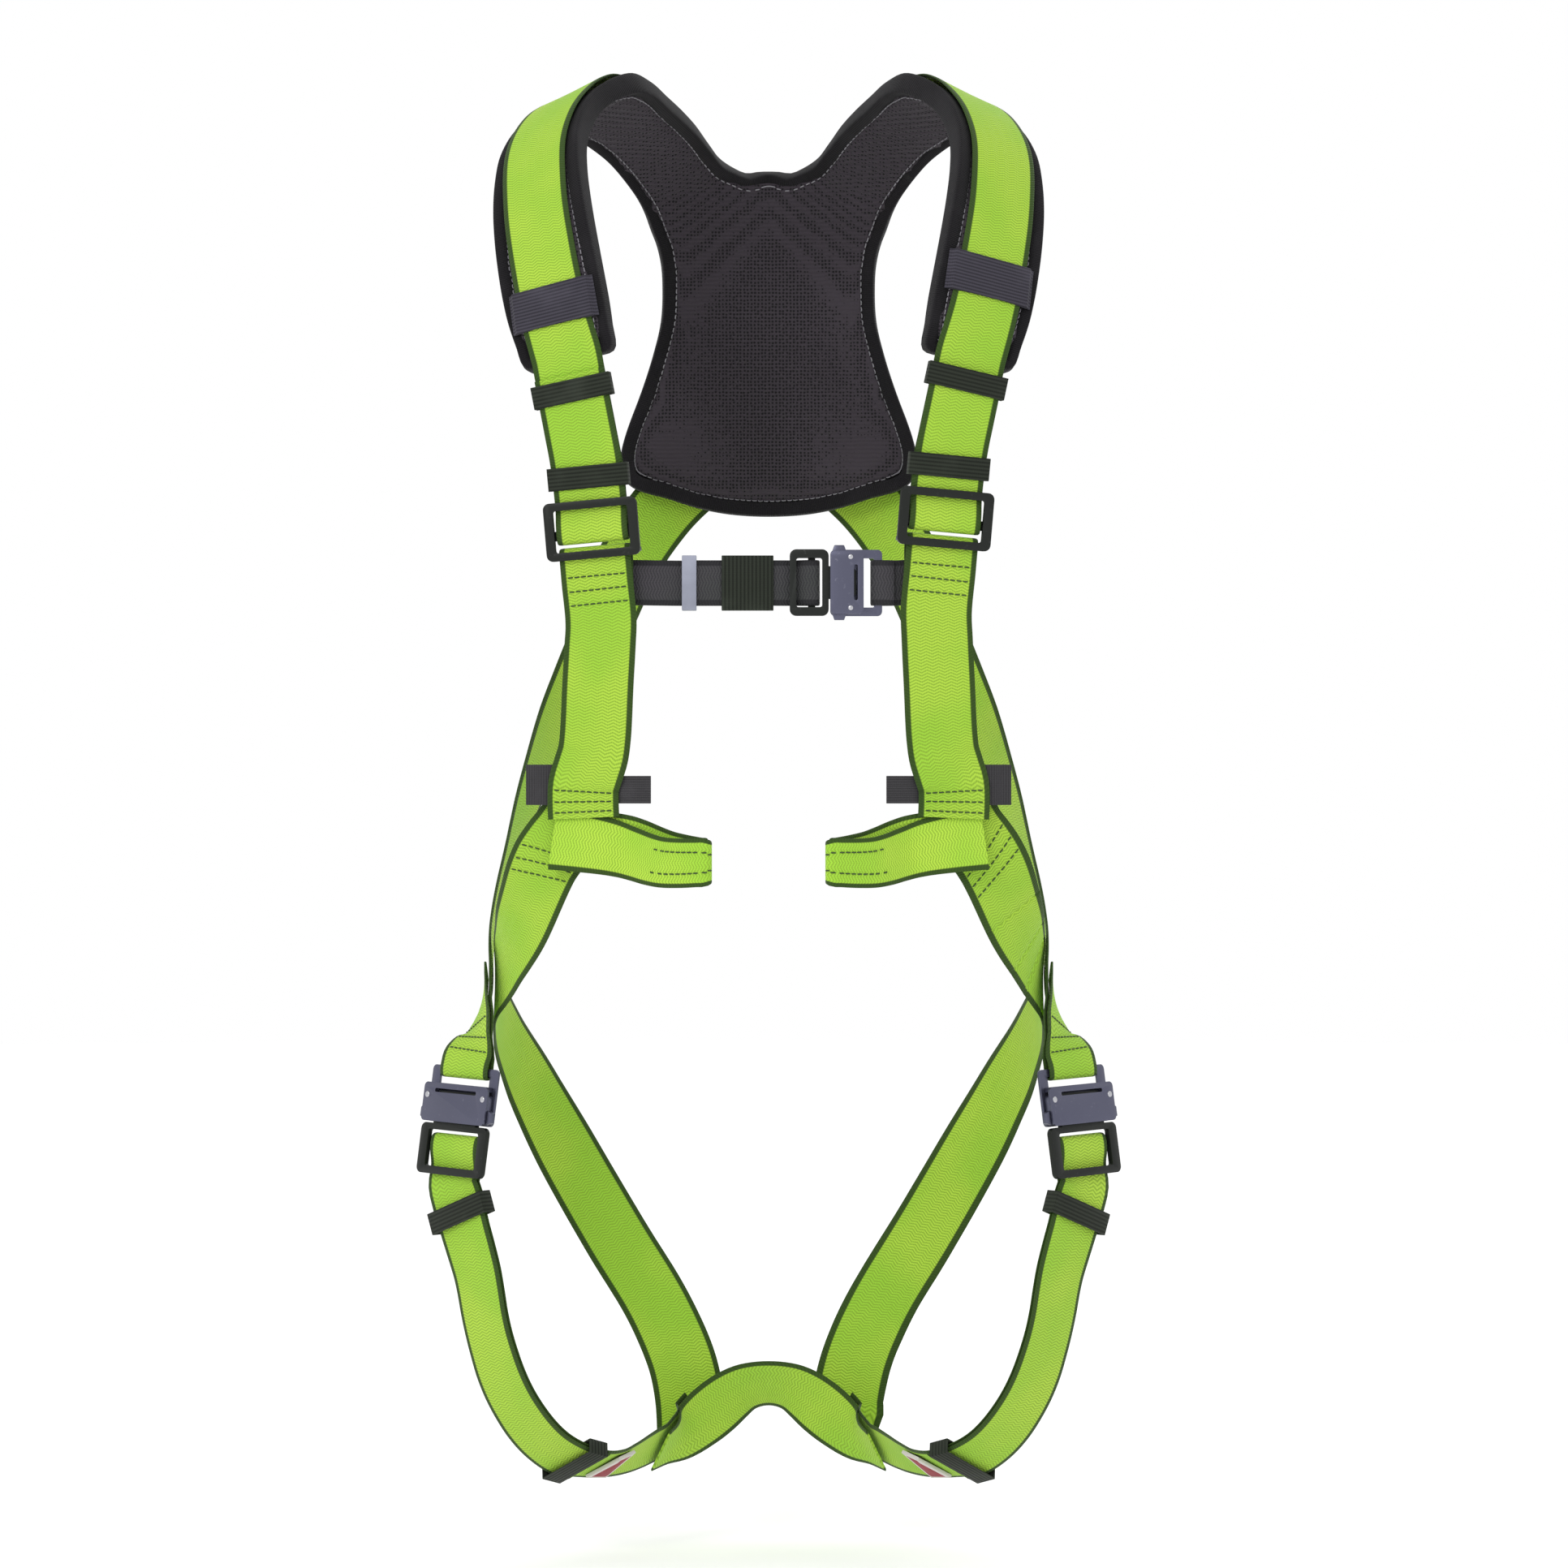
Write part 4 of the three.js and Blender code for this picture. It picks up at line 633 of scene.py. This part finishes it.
class HARNESS_OT_stage(bpy.types.Operator):
    """Floor, backdrop, lights and camera"""

    bl_idname = "harness.stage"
    bl_label = "Stage"

    def execute(self, context):
        scene = context.scene
        turns = np.linspace(0, 2 * math.pi, FLOOR_SIDES, endpoint=False)
        rim = [(FLOOR_RADIUS * math.cos(a), FLOOR_RADIUS * math.sin(a), FLOOR_Z) for a in turns]
        floor = mesh_object("stage_floor", rim, [tuple(range(FLOOR_SIDES))])
        m = Shade("stage_paper", Specular_IOR_Level=0.1, Emission_Color=(1, 1, 1, 1),
                  Emission_Strength=0.12)
        grain = m.noise(6.0, 2.0)
        m.finish(m.mix(grain, (0.90, 0.90, 0.90), (0.93, 0.93, 0.93)), 0.9)
        floor.data.materials.append(m.material)
        world = bpy.data.worlds.new("stage_world")
        world.use_nodes = True
        world.node_tree.nodes["Background"].inputs[0].default_value = (1, 1, 1, 1)
        world.node_tree.nodes["Background"].inputs[1].default_value = 1.0
        scene.world = world
        for name, place, aim, size, power in (
            ("key", (-1.5, -2.6, 1.3), (0, 0, -0.4), 1.0, 26),
            ("back_key", (1.6, 2.4, 1.4), (0, 0, -0.4), 1.4, 14),
        ):
            data = bpy.data.lights.new(name, "AREA")
            data.size, data.energy = size, power
            light = bpy.data.objects.new(name, data)
            light.location = place
            towards = Vector(aim) - Vector(place)
            light.rotation_euler = towards.to_track_quat("-Z", "Y").to_euler()
            scene.collection.objects.link(light)
        data = bpy.data.cameras.new("camera")
        camera = bpy.data.objects.new("camera", data)
        camera.location = (0, -CAMERA_AWAY, CAMERA_Z)
        camera.rotation_euler = (math.pi / 2, 0, 0)
        data.sensor_width = SENSOR_MM
        data.lens = SENSOR_MM * CAMERA_AWAY / VIEW_WIDTH
        data.shift_x = 0.0098
        data.clip_end = 50
        scene.collection.objects.link(camera)
        scene.camera = camera
        scene.view_settings.view_transform = "Standard"
        return {"FINISHED"}


class HARNESS_OT_webbing(bpy.types.Operator):
    """Main, chest, hip, thigh and seat straps, each along its packed route"""

    bl_idname = "harness.webbing"
    bl_label = "Webbing"

    def execute(self, context):
        for side in SIDES:
            for kind in ("main", "chest", "hip", "thigh"):
                node = f"{side}_{kind}_strap"
                made = web("web_" + node, strap(node))
                bends = kind == "thigh"
                dress(made, lime(), "webbing", None if bends else "harness", [node])
                if bends:
                    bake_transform(made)
        dress(web("web_seat_strap", strap("seat_strap")), lime(), "webbing", "harness", ["seat_strap"])
        return {"FINISHED"}


class HARNESS_OT_front_loops(bpy.types.Operator):
    """The textile loops at the front joints"""

    bl_idname = "harness.front_loops"
    bl_label = "Front loops"

    def execute(self, context):
        c = colors()
        bright = tuple(min(1.0, v * 1.12) for v in c.web)
        look = material("loop_webbing", webbing_material, bright, tuple(c.web_edge_shade), LOOP_HALF)
        for side in SIDES:
            node = side + "_front_loop"
            made = web("web_" + node, Strap(node, LOOP_STEP), full=LOOP_HALF)
            dress(made, look, "loop_webbing", "harness", [node])
        return {"FINISHED"}


class HARNESS_OT_sternal(bpy.types.Operator):
    """The sternal strap's two halves"""

    bl_idname = "harness.sternal"
    bl_label = "Sternal strap"

    def execute(self, context):
        c = colors()
        # Painted shade: a darker copy of the sternal colour for the shade on its selvedges.
        edge = tuple(v * 0.35 for v in c.sternal)
        look = material("grey_webbing", webbing_material, tuple(c.sternal), edge, STERNAL_HALF, 0.3)
        for end in ("long", "short"):
            node = "sternal_strap_" + end
            made = web("web_" + node, strap(node))
            dress(made, look, "sternal_webbing", None if end == "long" else "harness", [node])
            if end == "long":
                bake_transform(made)
        return {"FINISHED"}


def merged_copy(node, name, flat=None):
    """A CAD node's own copy with its corners merged and, if asked, its flat faces joined."""
    obj = NODES[node].copy()
    obj.data = NODES[node].data.copy()
    obj.name = obj.data.name = name
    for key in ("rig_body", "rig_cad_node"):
        del obj[key]
    obj.parent = None
    bpy.context.scene.collection.objects.link(obj)
    select_only(obj)
    bpy.ops.object.mode_set(mode="EDIT")
    bpy.ops.mesh.select_all(action="SELECT")
    bpy.ops.mesh.remove_doubles(threshold=WELD)
    if flat is not None:
        bpy.ops.mesh.dissolve_limited(angle_limit=flat)
    bpy.ops.object.mode_set(mode="OBJECT")
    return obj


class HARNESS_OT_pad(bpy.types.Operator):
    """The padded yoke: a foam core puffed by a short cloth simulation"""

    bl_idname = "harness.pad"
    bl_label = "Pad"

    def execute(self, context):
        c, s = colors(), sizes()
        # The second colour is the painted shade inside the mesh's holes.
        look = material("pad_mesh_cloth", mesh_cloth, tuple(c.pad), (0.006, 0.006, 0.007))
        pad = merged_copy("yoke_foam", "yoke_pad")
        subdivided = pad.modifiers.new("round", "SUBSURF")
        subdivided.subdivision_type = "SIMPLE"
        subdivided.levels = subdivided.render_levels = 2
        remesh = pad.modifiers.new("remesh", "REMESH")
        remesh.mode = "VOXEL"
        remesh.voxel_size = s.pad_voxel
        for modifier in ("round", "remesh"):
            bpy.ops.object.modifier_apply(modifier=modifier)
        start = np.array([v.co for v in pad.data.vertices])
        cloth = pad.modifiers.new("cloth", "CLOTH")
        cloth.settings.use_pressure = True
        cloth.settings.uniform_pressure_force = PAD_PRESSURE
        cloth.settings.effector_weights.gravity = 0
        cloth.settings.quality = 4
        for number in range(1, CLOTH_FRAMES + 1):
            context.scene.frame_set(number)
        bpy.ops.object.modifier_apply(modifier="cloth")
        context.scene.frame_set(1)
        end = np.array([v.co for v in pad.data.vertices])
        move = end - start
        length = np.linalg.norm(move, axis=1)
        move *= np.minimum(1, s.pad_swell / np.maximum(length, 1e-9))[:, None]
        pad.data.vertices.foreach_set("co", (start + move).ravel())
        pad.data.update()
        relax = pad.modifiers.new("relax", "SMOOTH")
        relax.factor, relax.iterations = 0.5, 3
        grow = pad.modifiers.new("grow", "DISPLACE")
        grow.mid_level, grow.strength = 0, PAD_GROW
        finer = pad.modifiers.new("finer", "SUBSURF")
        finer.levels = finer.render_levels = 1
        for modifier in ("relax", "grow", "finer"):
            bpy.ops.object.modifier_apply(modifier=modifier)
        bpy.ops.object.shade_smooth()
        dress(pad, look, "pad_mesh", "harness", ["yoke_foam", "yoke_cover", "yoke_lining"])
        return {"FINISHED"}


def binding_rings():
    """The middle and the half-height vector of each of the binding's rings, in no order."""
    bm = welded("yoke_binding")
    points = np.array([v.co for v in bm.verts])
    near = neighbours(bm)
    bm.free()

    def mate_of(first, length, taken=()):
        """The free neighbour of a corner whose edge is nearest to a length."""
        open_ones = [i for i in near[first] if i in free and i not in taken]
        return min(open_ones, key=lambda i: abs(np.linalg.norm(points[i] - points[first]) - length))

    rings, free = [], set(near)
    while free:
        a = min(free)
        mate = mate_of(a, BINDING_THICK)
        tall = mate_of(a, BINDING_HEIGHT, (mate,))
        opposite = points[mate] + points[tall] - points[a]
        corner = min((i for i in free if i not in (a, mate, tall)),
                     key=lambda i: np.linalg.norm(points[i] - opposite))
        free -= {a, mate, tall, corner}
        half = (points[tall] + points[corner] - points[a] - points[mate]) / 4
        rings.append((points[[a, mate, tall, corner]].mean(0), half))
    return rings


def binding_route():
    """The binding's closed route: each place along it, its middle, half-height and direction."""
    rings = binding_rings()
    order, free = [0], set(range(1, len(rings)))
    while free:
        last = rings[order[-1]][0]
        following = min(free, key=lambda i: np.linalg.norm(rings[i][0] - last))
        order.append(following)
        free.discard(following)
    centres = np.array([rings[i][0] for i in order])
    tall = np.array([rings[i][1] for i in order])
    for i in range(1, len(tall)):
        if np.dot(tall[i], tall[i - 1]) < 0:
            tall[i] = -tall[i]
    kept = [0]
    for i in range(1, len(centres)):
        if np.linalg.norm(centres[i] - centres[kept[-1]]) > TAPE_RING_GAP:
            kept.append(i)
    centres, tall = centres[kept], tall[kept]
    wrap = 3
    centres = np.vstack([centres[-wrap:], centres, centres[: wrap + 1]])
    tall = np.vstack([tall[-wrap:], tall, tall[: wrap + 1]])
    places = np.concatenate([[0], np.cumsum(np.linalg.norm(np.diff(centres, axis=0), axis=1))])
    start, end = places[wrap], places[len(places) - wrap - 1]
    count = int((end - start) / TAPE_STEP)
    wanted = start + (end - start) * np.arange(count) / count
    middle, half = hermite(centres, places, wanted), hermite(tall, places, wanted)
    along = np.roll(middle, -1, axis=0) - np.roll(middle, 1, axis=0)
    along /= np.linalg.norm(along, axis=1)[:, None]
    return wanted, middle, half, along


class HARNESS_OT_binding(bpy.types.Operator):
    """The tape that binds the pad's edge, and the stitched line beside it"""

    bl_idname = "harness.binding"
    bl_label = "Binding"

    def execute(self, context):
        wanted, middle, half, along = binding_route()
        count = len(wanted)
        pad = bpy.data.objects["yoke_pad"]
        tree = BVHTree.FromObject(pad, context.evaluated_depsgraph_get())
        out = np.cross(along, half)
        out /= np.linalg.norm(out, axis=1)[:, None]
        for i in range(count):
            if np.dot(out[i], middle[i] - np.array(tree.find_nearest(Vector(middle[i]))[0])) < 0:
                out[i] = -out[i]

        points, uvs, faces = [], [], []
        size = len(TAPE_SHAPE)
        for i in range(count):
            j = (i + 1) % count
            for k, (a, b) in enumerate(TAPE_SHAPE):
                m = (k + 1) % size
                points.append(middle[i] + half[i] * a * 0.98 + out[i] * (b - 1.9) * MM)
                uvs.append((a * 0.007 + b * MM, wanted[i]))
                faces.append((i * size + k, i * size + m, j * size + m, j * size + k))
        look = material("black_tape", plain_tape, tuple(colors().tape), 0.0012)
        tape = mesh_object("yoke_edge_tape", points, faces, uvs)
        dress(tape, look, "binding", "harness", ["yoke_binding"])

        points, faces = [], []
        for i in range(count):
            for face in (-1, 1):
                spot = middle[i] + half[i] * face * 0.9 - out[i] * STITCH_INSET
                hit, normal, _, far = tree.find_nearest(Vector(spot))
                if hit is not None and far < 0.006:
                    hit, normal = np.array(hit), np.array(normal)
                    dash(points, faces, hit + normal * 0.0002, along[i], normal, 0.003, 0.0004)
        dress(mesh_object("yoke_stitch_line", points, faces), grey_thread(), "pad_mesh")
        return {"FINISHED"}


def local_axes(obj):
    """A boxy piece's points, their middle and its three axes, longest first."""
    co = np.array([v.co for v in obj.data.vertices])
    middle = co.mean(0)
    values, vectors = np.linalg.eigh(np.cov((co - middle).T))
    return co, middle, vectors[:, ::-1].T


def copied(node, name, rounding):
    """A CAD node's own copy, merged, with rounded edges and a strap map across and along."""
    obj = merged_copy(node, name, flat=math.radians(1.0))
    if rounding > 0:
        bevel = obj.modifiers.new("edges", "BEVEL")
        bevel.width, bevel.segments = rounding, 2
        bevel.limit_method, bevel.angle_limit = "ANGLE", math.radians(35)
        bpy.ops.object.modifier_apply(modifier="edges")
    bpy.ops.object.shade_smooth_by_angle(angle=math.radians(40))
    co, middle, axes = local_axes(obj)
    for layer in list(obj.data.uv_layers):
        obj.data.uv_layers.remove(layer)
    layer = obj.data.uv_layers.new(name="strap")
    flat = (co - middle) @ axes.T
    for loop in obj.data.loops:
        layer.data[loop.index].uv = (flat[loop.vertex_index][0], flat[loop.vertex_index][1])
    return obj


class HARNESS_OT_keepers(bpy.types.Operator):
    """Keepers, pad bands, tags and labels"""

    bl_idname = "harness.keepers"
    bl_label = "Keepers and labels"

    def execute(self, context):
        elastic = material("grey_elastic", plain_tape, tuple(colors().elastic), 0.0021)
        dark = material("dark_elastic", plain_tape, (0.020, 0.025, 0.017), 0.0024)
        tag = material("dark_tag", plain_tape, (0.050, 0.048, 0.052), 0.0011)
        pale = material("pale_sleeve", moulded, (0.20, 0.21, 0.26))
        red = material("red_label_cloth", printed_label, (0.30, 0.035, 0.05), (0.62, 0.58, 0.56),
                       0.0165, 0.008)
        # A piece's node, its look, its slot and the rounding of its edges.
        sewn = [(node, dark, "elastic", 0.0004)
                for node in ("keeper_low", "keeper_high", "thigh_keeper_low", "thigh_keeper_high")]
        sewn += [("pad_band", elastic, "elastic", 0.0005), ("inner_tag", tag, "tag", 0.0003),
                 ("outer_tag", tag, "tag", 0.0003), ("red_label", red, "red_label", 0.0004)]
        for side in SIDES:
            for node, look, slot, rounding in sewn:
                body = side + "_tongue" if node == "thigh_keeper_high" else "harness"
                name = f"{side}_{node}"
                dress(copied(name, "soft_" + name, rounding), look, slot, body, [name])
        for node, look, slot in (("sternal_keeper", dark, "elastic"), ("sternal_sleeve", pale, "tag")):
            dress(copied(node, "soft_" + node, 0.0004), look, slot, "chest_tongue", [node])
        return {"FINISHED"}


def rivets(prefix, radius, look):
    """A domed rivet head over each lever's pin, on the cover's outer face."""
    cover = np.array([v.co for v in NODES[prefix + "_cover"].data.vertices])
    joints = {j["name"]: j for j in frame["record"]["behaviour"]["joints"]}
    short = prefix.replace("_buckle", "")
    for letter in "ab":
        joint = joints[f"{short}_lever_{letter}_press"]
        out = np.array(joint["axis"])
        out = out if out[1] < 0 else -out
        pin = np.array(joint["pos_m"])
        pin = pin + out * ((cover - pin) @ out).max()
        bpy.ops.object.select_all(action="DESELECT")
        bpy.ops.mesh.primitive_uv_sphere_add(segments=24, ring_count=12, radius=radius)
        head = bpy.context.object
        head.name = head.data.name = f"rivet_{short}_{letter}"
        turn = Vector(out).to_track_quat("Z", "Y").to_matrix().to_4x4()
        domed = Matrix.Diagonal((1, 1, RIVET_DOME, 1))
        head.data.transform(Matrix.Translation(Vector(pin)) @ turn @ domed)
        bpy.ops.object.shade_smooth()
        dress(head, look, "buckle_steel")


class HARNESS_OT_hardware(bpy.types.Operator):
    """Adjusters, buckles, dorsal plate and ring, with rounded edges and worn finishes"""

    bl_idname = "harness.hardware"
    bl_label = "Hardware"

    def execute(self, context):
        c = colors()
        looks = {
            "black_steel": ("black_steel", worn_metal, tuple(c.black), (0.06, 0.06, 0.06), 0.34, 0.3),
            "buckle_steel": ("buckle_steel", worn_metal, tuple(c.steel), (0.24, 0.24, 0.30), 0.26, 0.8),
            "bright_steel": ("bright_steel", worn_metal, (0.50, 0.50, 0.53), (0.25, 0.25, 0.26),
                             0.22, 1.0),
            "plate_plastic": ("black_plastic", moulded, (0.012, 0.012, 0.014)),
        }
        looks = {slot: material(*finish) for slot, finish in looks.items()}
        record = frame["record"]
        slots = {p["node"]: p["material_slot"] for p in record["subparts"]}
        bodies = {n: body for body, nodes in record["behaviour"]["bodies"].items() for n in nodes}
        for node, slot in sorted(slots.items()):
            if slot in looks:
                made = copied(node, "hard_" + node, sizes().edge)
                dress(made, looks[slot], slot, bodies[node], [node])
        for prefix, radius in (("chest_buckle", 0.0016), ("right_leg_buckle", 0.002),
                               ("left_leg_buckle", 0.002)):
            rivets(prefix, radius, looks["bright_steel"])
        return {"FINISHED"}


class HARNESS_OT_stitching(bpy.types.Operator):
    """Rows of stitches at the sewn joints"""

    bl_idname = "harness.stitching"
    bl_label = "Stitching"

    def execute(self, context):
        front, back = np.array((0.0, -1.0, 0.0)), np.array((0.0, 1.0, 0.0))
        for side, mate in (("right", "left"), ("left", "right")):
            x = -1 if side == "right" else 1
            lift = 0.0 if side == "right" else LEFT_ADJUSTER_LIFT
            outward = np.array((x * 0.7, -0.7, 0))
            chest, hip = strap(side + "_chest_strap"), strap(side + "_hip_strap")
            crossing = strap(mate + "_main_strap")
            # Each sewn joint: the strap, a point near its rows, the face, how many, and how they lie.
            joints = (
                (chest, (x * 0.106, -0.115, -0.326 + lift), front, 3, {"pitch": 0.0085}),
                (chest, (x * 0.112, -0.115, -0.456), front, 3, {}),
                (hip, (x * 0.138, -0.097, -0.495), front, 3, {"slant": 0.35, "pitch": 0.0085}),
                (crossing, (x * 0.186, -0.034, -0.606), outward, 3, {"pitch": 0.0085, "ends": 0.05}),
                (hip, (x * 0.051, 0.064, -0.850), back, 3, {"pitch": 0.007}),
                (hip, (x * 0.053, 0.066, -0.828), back, 2, {"pitch": 0.006}),
            )
            points, faces = [], []
            for route, spot, facing, rows, lie in joints:
                stitch_rows(points, faces, route, spot, facing, rows, **lie)
            dress(mesh_object(side + "_stitches", points, faces), thread(), "webbing")
            points, faces = [], []
            band = Strap(side + "_front_loop", LOOP_STEP)
            stitch_lines(points, faces, band, (x * 0.068, -0.130, -0.492), (x * 0.034, -0.134, -0.492),
                         front, 0.0085)
            dress(mesh_object(side + "_loop_stitches", points, faces), thread(), "loop_webbing")
        points, faces = [], []
        for end, x in (("long", -0.10), ("short", 0.10)):
            stitch_rows(points, faces, strap("sternal_strap_" + end), (x, -0.125, -0.321), front, 3,
                        pitch=0.005, margin=0.003)
        dress(mesh_object("sternal_stitches", points, faces), grey_thread(), "sternal_webbing")
        return {"FINISHED"}


class HARNESS_PT_panel(bpy.types.Panel):
    """Lists the build steps"""

    bl_idname = "HARNESS_PT_panel"
    bl_label = "Harness"
    bl_space_type = "VIEW_3D"
    bl_region_type = "UI"
    bl_category = "Harness"

    def draw(self, context):
        for group in (context.scene.harness_sizes, context.scene.harness_colors):
            for key in group.__annotations__:
                self.layout.prop(group, key)
        for operator in OPERATORS:
            self.layout.operator(operator.bl_idname)


OPERATORS = (HARNESS_OT_stage, HARNESS_OT_webbing, HARNESS_OT_front_loops, HARNESS_OT_sternal,
             HARNESS_OT_pad, HARNESS_OT_binding, HARNESS_OT_keepers, HARNESS_OT_hardware,
             HARNESS_OT_stitching)
CLASSES = (HarnessColors, HarnessSizes, *OPERATORS, HARNESS_PT_panel)


def register():
    for cls in CLASSES:
        bpy.utils.register_class(cls)
    bpy.types.Scene.harness_colors = PointerProperty(type=HarnessColors)
    bpy.types.Scene.harness_sizes = PointerProperty(type=HarnessSizes)


def unregister():
    del bpy.types.Scene.harness_colors
    del bpy.types.Scene.harness_sizes
    for cls in reversed(CLASSES):
        bpy.utils.unregister_class(cls)


def main():
    register()
    for operator in OPERATORS:
        group, name = operator.bl_idname.split(".")
        getattr(getattr(bpy.ops, group), name)()


if __name__ == "__main__":
    main()
